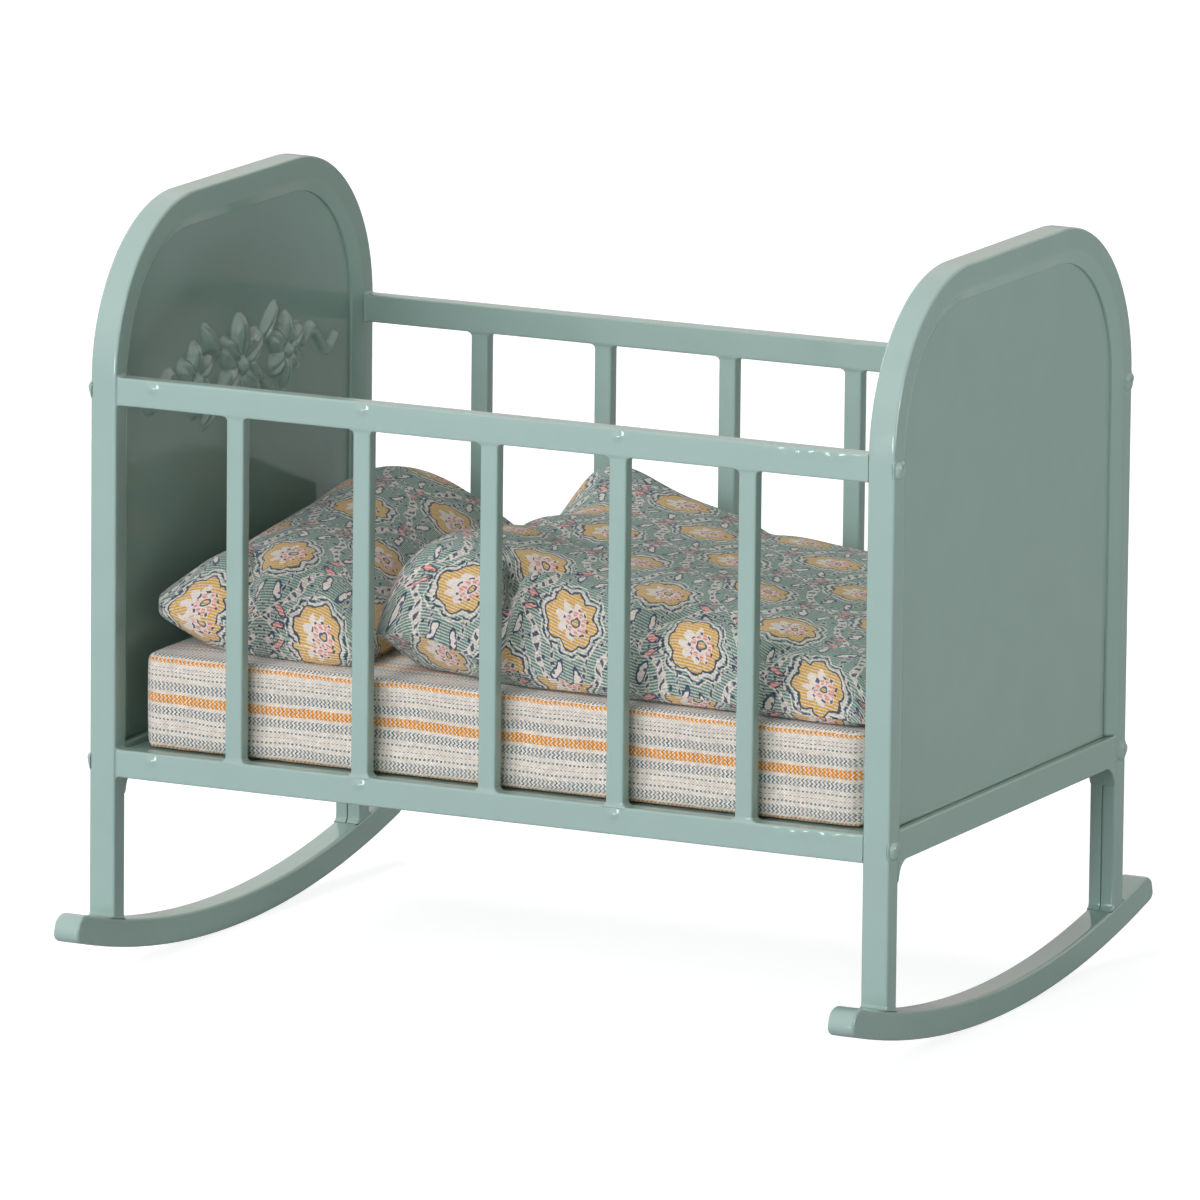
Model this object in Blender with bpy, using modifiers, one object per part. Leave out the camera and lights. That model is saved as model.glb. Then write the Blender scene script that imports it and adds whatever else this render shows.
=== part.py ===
"""Doll cradle: an enamelled sheet-metal cradle on two curved rockers, with its bedding.

X runs from the head end (-X) to the foot end (+X), Y runs across the cradle (front is -Y) and Z is up.
The origin is on the floor, under the middle of the cradle. Every length is in metres.
"""
import math

import bmesh
import bpy
from mathutils import Matrix, Vector

MM = 0.001

# Overall sizes
LENGTH = 130.0 * MM          # outer face of the headboard to outer face of the footboard
WIDTH = 82.4 * MM            # across the outer faces of the legs
HEIGHT = 114.0 * MM          # floor to the crown of the end frames

# Gaps between pieces
SEAM = 0.15 * MM             # at brazed, slotted and peened joints
REST_GAP = 0.3 * MM          # under a cushion
WELD_SHARE = 0.01            # points closer than this share of a seam are one point
OVERRUN = 2.0 * MM           # how far a cutter runs past the piece that it cuts

# Rounded edges of the enamelled metal
EDGE_ROUND = 0.35 * MM
EDGE_STEPS = 2

# End frames: one U-channel bent into an arch, with its two ends as legs
FRAME_DEPTH = 4.2 * MM       # along the cradle
FRAME_FACE = 3.4 * MM        # face of each leg
RIM_FLAT = 3.5 * MM          # flat face of the rim, outside the lips
FRAME_WEB = 0.8 * MM         # sheet at the outer edge of the channel
CHANNEL_WIDTH = 1.8 * MM     # slot between the two flanges
ARCH_RADIUS = 25.0 * MM
ARC_STEPS = 16               # straight runs in each corner arc
LEG_SEAM_WIDTH = 0.3 * MM    # where the folded edges meet on the inner side of each leg
LEG_SEAM_DEPTH = 0.3 * MM
LIP_WIDTH = 1.8 * MM         # sloped lip between the rim's flat face and the panel
LIP_DROP = 0.9 * MM
LIP_CORNER_EASE = 0.4 * MM   # the lip turns its corners this much tighter than the rim
LIP_CUT_SHARE = 1.25         # the cutter's slope runs on past the lip by this share
LIP_STEPS = 17               # straight runs in each of the lip's corners

# End panels: a sheet held between the lips of the rim
PANEL_TUCK = 1.5 * MM        # how far the sheet reaches in under the lips

# Crossbars: a channel between the legs, under each panel
CROSSBAR_BOTTOM = 30.0 * MM
CROSSBAR_HEIGHT = 4.7 * MM
CROSSBAR_WEB = 1.2 * MM
CROSSBAR_FILLET = 3.0 * MM
CROSSBAR_FOOT = 0.6 * MM     # how thick the fillet still is where it ends on the leg
FILLET_STEPS = 4
CROSSBAR_TUCK = 2.0 * MM     # how far the panel reaches down into the crossbar

# Rockers
ROCKER_RADIUS = 192.0 * MM   # curve of the underside
ROCKER_DEPTH = 4.3 * MM
ROCKER_SPAN = 104.6 * MM     # tip to tip, across the cradle
ROCKER_TIP_UNDER = 0.9 * MM  # rounding of each tip's lower corner
ROCKER_TIP_OVER = 2.9 * MM   # rounding of each tip's upper corner
ROCKER_STEPS = 21            # an odd count leaves one flat at the lowest place
TIP_STEPS = 4

# Side rails, each with a tenon at both ends that is peened over outside the end frame
RAIL_HEIGHT = 4.2 * MM
RAIL_THICKNESS = 2.6 * MM
RAIL_SETBACK = 0.4 * MM      # behind the outer faces of the legs
TOP_RAIL_BELOW_CROWN = 24.2 * MM
BOTTOM_RAIL_BOTTOM = 30.0 * MM
TENON_WIDTH = 1.1 * MM
TENON_HEIGHT = 1.6 * MM
TENON_PLAY = 0.15 * MM
HEAD_WIDTH = 2.6 * MM
HEAD_HEIGHT = 2.2 * MM
HEAD_RISE = 0.5 * MM
DOME_SEGMENTS = 12
DOME_RINGS = 6

# Bars between the rails
BAR_COUNT = 5
BAR_WIDTH = 2.8 * MM
BAR_THICKNESS = 2.2 * MM
BAR_FLARE = 0.7 * MM         # where each end spreads into the rail
FLARE_STEPS = 3

# Bed base: a folded tray of thin sheet between the bottom rails
BASE_THICKNESS = 0.8 * MM
BASE_BELOW_RAIL = 0.4 * MM   # top of the tray under the top of the bottom rails
BASE_FLANGE = 2.8 * MM

# Mattress
MATTRESS_THICKNESS = 14.0 * MM
MATTRESS_SIDE_PLAY = 0.9 * MM
MATTRESS_END_PLAY = 1.5 * MM
MATTRESS_CROWN = 0.7 * MM
MATTRESS_DRAW_IN = 0.5 * MM
MATTRESS_EDGE_ROUND = 1.5 * MM
MATTRESS_CUTS = 5

# Pillow, propped against the headboard
PILLOW_LENGTH = 37.0 * MM
PILLOW_WIDTH = 70.0 * MM
PILLOW_HEAD_PLAY = 1.0 * MM
PILLOW_SEAM_RISE = 2.4 * MM
PILLOW_LEAN = 6.8 * MM       # how much higher the head end lies, at mid width
PILLOW_LEAN_TWIST = 2.8 * MM     # more of it at the rear, less at the front
PILLOW_EDGE = 1.7 * MM       # half thickness close to the seam
PILLOW_CROWN = 10.2 * MM
PILLOW_BELLY = 6.0 * MM
PILLOW_REAR_RISE = 2.2 * MM
PILLOW_DRAW_IN = 1.2 * MM
PILLOW_COLUMNS = 18
PILLOW_ROWS = 26

# Duvet, from the pillow to the footboard
DUVET_WIDTH = 73.0 * MM
DUVET_PILLOW_GAP = 1.2 * MM
DUVET_FOOT_PLAY = 1.3 * MM
DUVET_SEAM_RISE = 1.8 * MM
DUVET_SEAM_TWIST = 0.9 * MM  # the seam lies higher at the head end
DUVET_CROWN = 13.2 * MM
DUVET_BELLY = 5.2 * MM
DUVET_HEAD_RISE = 3.9 * MM
DUVET_REAR_RISE = 0.5 * MM
DUVET_TWIST = 1.2 * MM       # the rear is higher at the foot end, the front at the head end
DUVET_CORNER_LIFT = 9.5 * MM
DUVET_CREASE_DEPTH = 5.5 * MM
DUVET_CREASE_WIDTH = 3.6 * MM
DUVET_DRAW_IN = 0.8 * MM
DUVET_COLUMNS = 28
DUVET_ROWS = 22
# Ends of the two creases and their depth, as shares of the half length, half width and full depth
CREASE_SHARES = (((-0.47, -1.0), (-0.26, -0.40), 1.0), ((0.04, -1.0), (0.30, -0.78), 0.35))

# Relief on the inner face of the headboard: a spray of three flowers with leaves and ribbons
RELIEF_BELOW_CROWN = 29.0 * MM   # centre line of the relief, under the top of the arch
RELIEF_RISE = 1.5 * MM       # how far the petals stand out of the panel
RELIEF_SINK = 0.2 * MM       # how deep each form is rooted in the panel
FLOWER_OFFSET = 14.5 * MM    # centre of each small flower from the middle of the panel
PETAL_LENGTH = 7.0 * MM
PETAL_WIDTH = 4.8 * MM
PETAL_COUNT = 6
SMALL_FLOWER_SHARE = 0.75    # size of the small flowers against the large one
EYE_WIDTH = 3.2 * MM
EYE_RISE = 1.75 * MM
LEAF_LENGTH = 8.0 * MM
LEAF_WIDTH = 2.6 * MM
LEAF_PLACE_SHARE = 0.62      # each leaf's middle, between the large flower and a small one
RIBBON_LENGTH = 11.0 * MM
RIBBON_SWING = 2.0 * MM      # height of the ribbon's wave
RIBBON_WIDTH = 1.8 * MM
RIBBON_STEPS = 12
PETAL_TILT = math.radians(14)    # each petal leans over the next

# Places worked out from the sizes above
HALF_LENGTH = LENGTH / 2
HALF_WIDTH = WIDTH / 2
FRAME_X = HALF_LENGTH - FRAME_DEPTH / 2
INNER_X = HALF_LENGTH - FRAME_DEPTH
PANEL_THICKNESS = CHANNEL_WIDTH - 2 * SEAM
CROSSBAR_TOP = CROSSBAR_BOTTOM + CROSSBAR_HEIGHT
LEG_INNER_Y = HALF_WIDTH - FRAME_FACE
RAIL_Y = HALF_WIDTH - RAIL_SETBACK - RAIL_THICKNESS / 2
RELIEF_Z = HEIGHT - RELIEF_BELOW_CROWN
TOP_RAIL_Z = HEIGHT - TOP_RAIL_BELOW_CROWN - RAIL_HEIGHT / 2
BOTTOM_RAIL_Z = BOTTOM_RAIL_BOTTOM + RAIL_HEIGHT / 2
RAIL_LENGTH = 2 * (INNER_X - SEAM)
BASE_TOP = BOTTOM_RAIL_Z + RAIL_HEIGHT / 2 - BASE_BELOW_RAIL
MATTRESS_HALF_LENGTH = INNER_X - MATTRESS_END_PLAY
MATTRESS_HALF_WIDTH = RAIL_Y - RAIL_THICKNESS / 2 - MATTRESS_SIDE_PLAY
MATTRESS_BOTTOM = BASE_TOP + REST_GAP
MATTRESS_TOP = MATTRESS_BOTTOM + MATTRESS_THICKNESS
PILLOW_X = -INNER_X + PILLOW_HEAD_PLAY + PILLOW_LENGTH / 2
DUVET_HEAD_X = -INNER_X + PILLOW_HEAD_PLAY + PILLOW_LENGTH + DUVET_PILLOW_GAP
DUVET_FOOT_X = INNER_X - DUVET_FOOT_PLAY
DUVET_X = (DUVET_HEAD_X + DUVET_FOOT_X) / 2
DUVET_LENGTH = DUVET_FOOT_X - DUVET_HEAD_X

# Outlines are drawn in a plane and then stood up: these turn (x, y, z) into the cradle's axes
ACROSS = Matrix(((0, 0, 1), (1, 0, 0), (0, 1, 0))).to_4x4()      # outline (Y, Z), thickness X
ALONG = Matrix(((1, 0, 0), (0, 0, -1), (0, 1, 0))).to_4x4()      # outline (X, Z), thickness Y

# Enamel, striped cotton ticking and printed twill
ENAMEL = ("enamel_mint", (0.345, 0.475, 0.425, 1.0), 0.28, 0.0)
TICKING = ("cotton_ticking", (0.73, 0.64, 0.55, 1.0), 0.9, 0.0)
TWILL = ("printed_twill", (0.22, 0.32, 0.29, 1.0), 0.92, 0.0)


def clear_scene():
    """Remove every object that is in the scene."""
    for obj in list(bpy.data.objects):
        bpy.data.objects.remove(obj, do_unlink=True)


def new_collection(name):
    """Return an empty collection of this name, linked to the scene."""
    collection = bpy.data.collections.new(name)
    bpy.context.scene.collection.children.link(collection)
    return collection


def new_material(name, colour, roughness, metallic):
    """Return a Principled material with these values."""
    material = bpy.data.materials.new(name)
    material.use_nodes = True
    shader = material.node_tree.nodes["Principled BSDF"]
    shader.inputs["Base Color"].default_value = colour
    shader.inputs["Roughness"].default_value = roughness
    shader.inputs["Metallic"].default_value = metallic
    return material


clear_scene()
CRADLE = new_collection("doll_cradle")
CUTTERS = new_collection("cutters")


def new_object(name, mesh, collection):
    """Link a new object that shows the mesh."""
    obj = bpy.data.objects.new(name, mesh)
    collection.objects.link(obj)
    return obj


def mesh_from_bmesh(name, bm):
    """Write the bmesh to a new mesh, with its faces turned outwards."""
    bmesh.ops.recalc_face_normals(bm, faces=bm.faces)
    mesh = bpy.data.meshes.new(name)
    bm.to_mesh(mesh)
    bm.free()
    return mesh


def mesh_from_curve(curve):
    """Turn a curve into a closed mesh whose caps are welded."""
    guide = new_object(curve.name + "_guide", curve, CUTTERS)
    evaluated = guide.evaluated_get(bpy.context.evaluated_depsgraph_get())
    mesh = bpy.data.meshes.new_from_object(evaluated)
    bpy.data.objects.remove(guide, do_unlink=True)
    bm = bmesh.new()
    bm.from_mesh(mesh)
    bmesh.ops.remove_doubles(bm, verts=bm.verts, dist=SEAM * WELD_SHARE)
    return mesh_from_bmesh(curve.name, bm)


def plate(name, outline, thickness, stand, collection):
    """Extrude a flat closed outline, half the thickness to each side, and stand it up."""
    curve = bpy.data.curves.new(name, "CURVE")
    curve.dimensions = "2D"
    curve.fill_mode = "BOTH"
    curve.extrude = thickness / 2
    spline = curve.splines.new("POLY")
    spline.points.add(len(outline) - 1)
    for point, (across, up) in zip(spline.points, outline):
        point.co = (across, up, 0, 1)
    spline.use_cyclic_u = True
    mesh = mesh_from_curve(curve)
    bpy.data.curves.remove(curve)
    mesh.transform(stand)
    return new_object(name, mesh, collection)


def block(name, size, centre, collection):
    """A box of this size about this centre."""
    bm = bmesh.new()
    bmesh.ops.create_cube(bm, size=1)
    bmesh.ops.scale(bm, vec=Vector(size), verts=bm.verts)
    obj = new_object(name, mesh_from_bmesh(name, bm), collection)
    obj.location = centre
    return obj


def dome(name, radii, centre, facing, tilt=0):
    """Half an ellipsoid, flat at its centre and bulging towards facing, +1 or -1 along X."""
    bm = bmesh.new()
    bmesh.ops.create_uvsphere(bm, u_segments=DOME_SEGMENTS, v_segments=DOME_RINGS, radius=1)
    bmesh.ops.scale(bm, vec=Vector(radii), verts=bm.verts)
    bmesh.ops.rotate(bm, matrix=Matrix.Rotation(tilt, 3, "Z"), verts=bm.verts)
    cut = bmesh.ops.bisect_plane(
        bm, geom=bm.verts[:] + bm.edges[:] + bm.faces[:], dist=0,
        plane_co=(0, 0, 0), plane_no=(-facing, 0, 0), clear_outer=True)
    rim = [item for item in cut["geom_cut"] if isinstance(item, bmesh.types.BMEdge)]
    bmesh.ops.holes_fill(bm, edges=rim)
    obj = new_object(name, mesh_from_bmesh(name, bm), CUTTERS)
    obj.location = centre
    return obj


def boolean(target, tool, operation):
    """Cut the tool from the target, or join it, and keep the tool as a hidden guide."""
    modifier = target.modifiers.new(operation.lower(), "BOOLEAN")
    modifier.operation = operation
    modifier.solver = "EXACT"
    modifier.object = tool
    tool.display_type = "WIRE"
    tool.hide_render = True


def round_edges(obj, width, steps):
    """Round every edge that turns by more than half a right angle."""
    bevel = obj.modifiers.new("round_edges", "BEVEL")
    bevel.width = width
    bevel.segments = steps
    bevel.limit_method = "ANGLE"
    bevel.angle_limit = math.radians(45)


def finish(obj, material):
    """Give the piece its material and smooth shading with crisp folds."""
    obj.data.materials.clear()
    obj.data.materials.append(material)
    obj.data.shade_smooth()
    obj.data.set_sharp_from_angle(angle=math.radians(40))
    return obj


def arc(centre, radius, start, end, steps):
    """Points on a circle from one angle to another, both included, in degrees."""
    points = []
    for step in range(steps + 1):
        angle = math.radians(start + (end - start) * step / steps)
        points.append((centre[0] + radius * math.cos(angle), centre[1] + radius * math.sin(angle)))
    return points


def arch_outline(inset, bottom, ease=0, steps=ARC_STEPS):
    """The arch of an end frame, moved inwards by the inset and closed along the bottom."""
    half = HALF_WIDTH - inset
    radius = ARCH_RADIUS - inset - ease
    spring = HEIGHT - inset - radius
    left = arc((-half + radius, spring), radius, 180, 90, steps)
    right = arc((half - radius, spring), radius, 90, 0, steps)
    return [(-half, bottom)] + left + right + [(half, bottom)]


def rocker_top(y):
    """Height of the rocker's upper side at this place across the cradle."""
    radius = ROCKER_RADIUS - ROCKER_DEPTH
    return ROCKER_RADIUS - math.sqrt(radius ** 2 - y ** 2)


def frame_outline():
    """The arch with its legs: outer edge, leg bottoms on the rocker, and the inner edge."""
    outer = arch_outline(0, rocker_top(HALF_WIDTH) + SEAM)
    lip = RIM_FLAT + LIP_WIDTH
    inner = arch_outline(lip, CROSSBAR_TOP + SEAM)
    foot = rocker_top(LEG_INNER_Y) + SEAM
    right_leg = [(LEG_INNER_Y, foot), (LEG_INNER_Y, CROSSBAR_TOP + SEAM)]
    left_leg = [(-LEG_INNER_Y, CROSSBAR_TOP + SEAM), (-LEG_INNER_Y, foot)]
    return outer + right_leg + inner[::-1] + left_leg


def lip_cutter(name, side):
    """The space over the sloped lips on one side of the frame: it narrows as it goes in."""
    bm = bmesh.new()
    face_x = side * FRAME_DEPTH / 2
    bottom = CROSSBAR_TOP - LIP_WIDTH - OVERRUN
    outline = arch_outline(RIM_FLAT, bottom, LIP_CORNER_EASE, LIP_STEPS)
    mouth = bm.faces.new([bm.verts.new((face_x + side * OVERRUN, y, z)) for y, z in outline])
    made = bmesh.ops.extrude_face_region(bm, geom=[mouth])["geom"]
    for item in made:
        if isinstance(item, bmesh.types.BMVert):
            item.co.x = face_x
    floor = [item for item in made if isinstance(item, bmesh.types.BMFace)]
    bmesh.ops.inset_region(bm, faces=floor, thickness=LIP_WIDTH * LIP_CUT_SHARE,
                           use_even_offset=True, use_boundary=True)
    for vert in {vert for face in floor for vert in face.verts}:
        vert.co.x -= side * LIP_DROP * LIP_CUT_SHARE
    return new_object(name, mesh_from_bmesh(name, bm), CUTTERS)


def end_frame(name, x, material):
    """The channel-section arch with its two legs, slotted for the panel and for four tenons."""
    obj = plate(name, frame_outline(), FRAME_DEPTH, ACROSS, CRADLE)
    round_edges(obj, EDGE_ROUND, EDGE_STEPS)
    hole = (FRAME_DEPTH + OVERRUN, TENON_WIDTH + 2 * TENON_PLAY, TENON_HEIGHT + 2 * TENON_PLAY)
    for y in (-RAIL_Y, RAIL_Y):
        for z in (BOTTOM_RAIL_Z, TOP_RAIL_Z):
            boolean(obj, block(name + "_tenon_hole", hole, (x, y, z), CUTTERS), "DIFFERENCE")
    for side in (-1, 1):
        cutter = lip_cutter(f"{name}_lips_{side}", side)
        cutter.location.x = x
        boolean(obj, cutter, "DIFFERENCE")
    outline = arch_outline(FRAME_WEB, CROSSBAR_BOTTOM)
    slot = plate(name + "_slot", outline, CHANNEL_WIDTH, ACROSS, CUTTERS)
    slot.location.x = x
    boolean(obj, slot, "DIFFERENCE")
    seam_top = CROSSBAR_BOTTOM - SEAM
    seam_size = (LEG_SEAM_WIDTH, 2 * (LEG_INNER_Y + LEG_SEAM_DEPTH), seam_top)
    seam = block(name + "_leg_seam", seam_size, (x, 0, seam_top / 2), CUTTERS)
    boolean(obj, seam, "DIFFERENCE")
    obj.location.x = x
    return finish(obj, material)


def end_panel(name, x, material):
    """The sheet that fills the arch, with its edge inside the channel."""
    outline = arch_outline(RIM_FLAT + LIP_WIDTH - PANEL_TUCK, CROSSBAR_TOP - CROSSBAR_TUCK)
    obj = plate(name, outline, PANEL_THICKNESS, ACROSS, CRADLE)
    obj.location.x = x
    return finish(obj, material)


def relief_form(name, place, length, width, rise, turn):
    """One low rounded form of the relief, rooted a little way into the panel."""
    radii = (rise + RELIEF_SINK, width / 2, length / 2)
    face_x = -FRAME_X + PANEL_THICKNESS / 2 - RELIEF_SINK
    obj = dome(name, radii, (face_x, place[0], place[1]), 1, PETAL_TILT)
    obj.rotation_euler.x = -turn
    return obj


def flower(name, y, z, share):
    """A ring of petals round a raised eye."""
    forms = []
    reach = PETAL_LENGTH * share / 2 + EYE_WIDTH * share / 4
    for index in range(PETAL_COUNT):
        turn = 2 * math.pi * index / PETAL_COUNT
        place = (y + reach * math.sin(turn), z + reach * math.cos(turn))
        forms.append(relief_form(name + "_petal", place, PETAL_LENGTH * share,
                                 PETAL_WIDTH * share, RELIEF_RISE, turn))
    eye = EYE_WIDTH * share
    forms.append(relief_form(name + "_eye", (y, z), eye, eye, EYE_RISE, 0))
    return forms


def ribbon(name, side):
    """A waved ribbon end that trails outwards from a small flower."""
    curve = bpy.data.curves.new(name, "CURVE")
    curve.dimensions = "3D"
    curve.bevel_depth = RIBBON_WIDTH / 2
    curve.bevel_resolution = 1
    curve.use_fill_caps = True
    spline = curve.splines.new("POLY")
    spline.points.add(RIBBON_STEPS)
    x = -FRAME_X + PANEL_THICKNESS / 2 - RELIEF_SINK
    for step, point in enumerate(spline.points):
        along = step / RIBBON_STEPS
        y = side * (FLOWER_OFFSET + PETAL_LENGTH * SMALL_FLOWER_SHARE + along * RIBBON_LENGTH)
        z = RELIEF_Z + RIBBON_SWING * math.sin(along * 2 * math.pi)
        point.co = (x, y, z, 1)
    mesh = mesh_from_curve(curve)
    bpy.data.curves.remove(curve)
    return new_object(name, mesh, CUTTERS)


def headboard_relief(panel):
    """Join the spray of flowers, leaves and ribbons to the headboard's panel."""
    forms = flower("large_flower", 0, RELIEF_Z, 1)
    for side in (-1, 1):
        y = side * FLOWER_OFFSET
        forms += flower("small_flower", y, RELIEF_Z, SMALL_FLOWER_SHARE)
        for rise in (-1, 1):
            centre = (y * LEAF_PLACE_SHARE, RELIEF_Z + rise * LEAF_LENGTH * LEAF_PLACE_SHARE)
            forms.append(relief_form("leaf", centre, LEAF_LENGTH, LEAF_WIDTH, RELIEF_RISE,
                                     side * rise * math.pi / 4))
        forms.append(ribbon("ribbon", side))
    for form in forms:
        boolean(panel, form, "UNION")


def crossbar(name, x, material):
    """The bar between the legs, slotted along its top for the panel, with a fillet at each leg."""
    half = LEG_INNER_Y - SEAM
    low = CROSSBAR_BOTTOM - CROSSBAR_FILLET
    centre = (half - CROSSBAR_FOOT - CROSSBAR_FILLET, low)
    right = [(half, CROSSBAR_TOP), (half, low)] + arc(centre, CROSSBAR_FILLET, 0, 90, FILLET_STEPS)
    left = [(-y, z) for y, z in right[::-1]]
    obj = plate(name, right + left, FRAME_DEPTH, ACROSS, CRADLE)
    round_edges(obj, EDGE_ROUND, EDGE_STEPS)
    slot_height = CROSSBAR_HEIGHT - CROSSBAR_WEB + OVERRUN
    slot_z = CROSSBAR_BOTTOM + CROSSBAR_WEB + slot_height / 2
    slot = block(name + "_slot", (CHANNEL_WIDTH, WIDTH, slot_height), (x, 0, slot_z), CUTTERS)
    boolean(obj, slot, "DIFFERENCE")
    obj.location.x = x
    return finish(obj, material)


def rocker_outline():
    """A band between two arcs about one centre, its tips rounded more above than below.

    The straight runs of the underside touch the circle at their middles, so the lowest one lies
    on the floor.
    """
    low, high = ROCKER_TIP_UNDER, ROCKER_TIP_OVER
    tip = math.asin(ROCKER_SPAN / 2 / (ROCKER_RADIUS - low))

    def place(depth, angle):
        radius = ROCKER_RADIUS - depth
        return radius * math.sin(angle), ROCKER_RADIUS - radius * math.cos(angle)

    right = []
    for step in range(1, TIP_STEPS + 1):
        turn = math.pi / 2 * step / TIP_STEPS
        back = low * (1 - math.sin(turn)) / ROCKER_RADIUS
        right.append(place(low * (1 - math.cos(turn)), tip - back))
    for step in range(TIP_STEPS):
        turn = math.pi / 2 * step / TIP_STEPS
        back = high * (1 - math.cos(turn)) / ROCKER_RADIUS
        right.append(place(ROCKER_DEPTH - high * (1 - math.sin(turn)), tip - back))
    under = tip - low / ROCKER_RADIUS
    over = tip - high / ROCKER_RADIUS
    steps = range(ROCKER_STEPS + 1)
    swell = ROCKER_RADIUS * (1 / math.cos(under / ROCKER_STEPS) - 1)
    lower = [place(-swell, (2 * step / ROCKER_STEPS - 1) * under) for step in steps]
    upper = [place(ROCKER_DEPTH, (1 - 2 * step / ROCKER_STEPS) * over) for step in steps]
    left = [(-y, z) for y, z in right[::-1]]
    return lower + right + upper + left


def rocker(name, x, material):
    """One curved rocker."""
    obj = plate(name, rocker_outline(), FRAME_DEPTH, ACROSS, CRADLE)
    round_edges(obj, EDGE_ROUND, EDGE_STEPS)
    obj.location.x = x
    return finish(obj, material)


def rail(name, y, z, material):
    """A side rail with its two tenons, each peened over into a head outside the end frame."""
    obj = block(name, (RAIL_LENGTH, RAIL_THICKNESS, RAIL_HEIGHT), (0, y, z), CRADLE)
    round_edges(obj, EDGE_ROUND, EDGE_STEPS)
    head_x = HALF_LENGTH + SEAM
    tenon_length = 2 * head_x + HEAD_RISE / 2
    tenon = block(name + "_tenons", (tenon_length, TENON_WIDTH, TENON_HEIGHT), (0, y, z), CUTTERS)
    boolean(obj, tenon, "UNION")
    for side in (-1, 1):
        radii = (HEAD_RISE, HEAD_WIDTH / 2, HEAD_HEIGHT / 2)
        head = dome(f"{name}_head_{side}", radii, (side * head_x, y, z), side)
        boolean(obj, head, "UNION")
    return finish(obj, material)


def bar_outline():
    """An upright bar that spreads at both ends, from the bottom left corner round to the left."""
    low = BOTTOM_RAIL_Z + RAIL_HEIGHT / 2 + SEAM
    high = TOP_RAIL_Z - RAIL_HEIGHT / 2 - SEAM
    half = BAR_WIDTH / 2
    centre = half + BAR_FLARE
    right_low = arc((centre, low + BAR_FLARE), BAR_FLARE, 270, 180, FLARE_STEPS)
    right_high = arc((centre, high - BAR_FLARE), BAR_FLARE, 180, 90, FLARE_STEPS)
    right = right_low + right_high
    return right + [(-x, z) for x, z in right[::-1]]


def bar_places():
    """X of each bar: even spaces between the bars and the end frames."""
    space = (2 * INNER_X - BAR_COUNT * BAR_WIDTH) / (BAR_COUNT + 1)
    pitch = space + BAR_WIDTH
    return [-INNER_X + space + BAR_WIDTH / 2 + pitch * index for index in range(BAR_COUNT)]


def bar(name, x, y, material):
    """One upright bar between the rails."""
    obj = plate(name, bar_outline(), BAR_THICKNESS, ALONG, CRADLE)
    obj.location = (x, y, 0)
    return finish(obj, material)


def bed_base(name, material):
    """A shallow tray, open below, folded from sheet: it fills the floor between rails and ends."""
    length = 2 * (INNER_X - SEAM)
    width = 2 * (RAIL_Y - RAIL_THICKNESS / 2 - SEAM)
    bm = bmesh.new()
    bmesh.ops.create_cube(bm, size=1)
    bmesh.ops.scale(bm, vec=Vector((length, width, BASE_FLANGE)), verts=bm.verts)
    floor_faces = [face for face in bm.faces if face.normal.z < -0.5]
    bmesh.ops.delete(bm, geom=floor_faces, context="FACES")
    mesh = bpy.data.meshes.new(name)
    bm.to_mesh(mesh)
    bm.free()
    obj = new_object(name, mesh, CRADLE)
    obj.location.z = BASE_TOP - BASE_FLANGE / 2
    shell = obj.modifiers.new("sheet", "SOLIDIFY")
    shell.thickness = BASE_THICKNESS
    shell.offset = -1
    shell.use_even_offset = True
    return finish(obj, material)


def mattress_top(x, y):
    """Height of the mattress's crowned top at this place."""
    u = min(1, abs(x) / MATTRESS_HALF_LENGTH)
    v = min(1, abs(y) / MATTRESS_HALF_WIDTH)
    return MATTRESS_TOP + MATTRESS_CROWN * (1 - u ** 2) * (1 - v ** 2)


def mattress(name, material):
    """A box cushion: crowned on top, flat below, its sides drawn in a little between the corners."""
    bm = bmesh.new()
    bmesh.ops.create_cube(bm, size=2)
    bmesh.ops.subdivide_edges(bm, edges=bm.edges[:], cuts=MATTRESS_CUTS, use_grid_fill=True)
    for vert in bm.verts:
        u, v, w = vert.co
        waist = 1 - w ** 2
        vert.co.x = u * (MATTRESS_HALF_LENGTH - MATTRESS_DRAW_IN * (1 - v ** 2) * waist)
        vert.co.y = v * (MATTRESS_HALF_WIDTH - MATTRESS_DRAW_IN * (1 - u ** 2) * waist)
        top = mattress_top(vert.co.x, vert.co.y)
        vert.co.z = MATTRESS_BOTTOM + (top - MATTRESS_BOTTOM) * (w + 1) / 2
    obj = new_object(name, mesh_from_bmesh(name, bm), CRADLE)
    round_edges(obj, MATTRESS_EDGE_ROUND, EDGE_STEPS)
    return finish(obj, material)


def cushion(name, columns, rows, place, material):
    """A soft closed form: an upper and a lower grid, shaped by place(u, v, side), that share a seam."""
    bm = bmesh.new()
    for side in (1, -1):
        made = bmesh.ops.create_grid(bm, x_segments=columns, y_segments=rows, size=1)
        for vert in made["verts"]:
            vert.co = place(vert.co.x, vert.co.y, side)
    bmesh.ops.remove_doubles(bm, verts=bm.verts, dist=SEAM * WELD_SHARE)
    obj = new_object(name, mesh_from_bmesh(name, bm), CRADLE)
    finish(obj, material)
    obj.data.set_sharp_from_angle(angle=math.pi)
    return obj


def spread(value):
    """Move even steps from -1 to 1 closer together towards the ends."""
    return math.sin(value * math.pi / 2)


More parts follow.
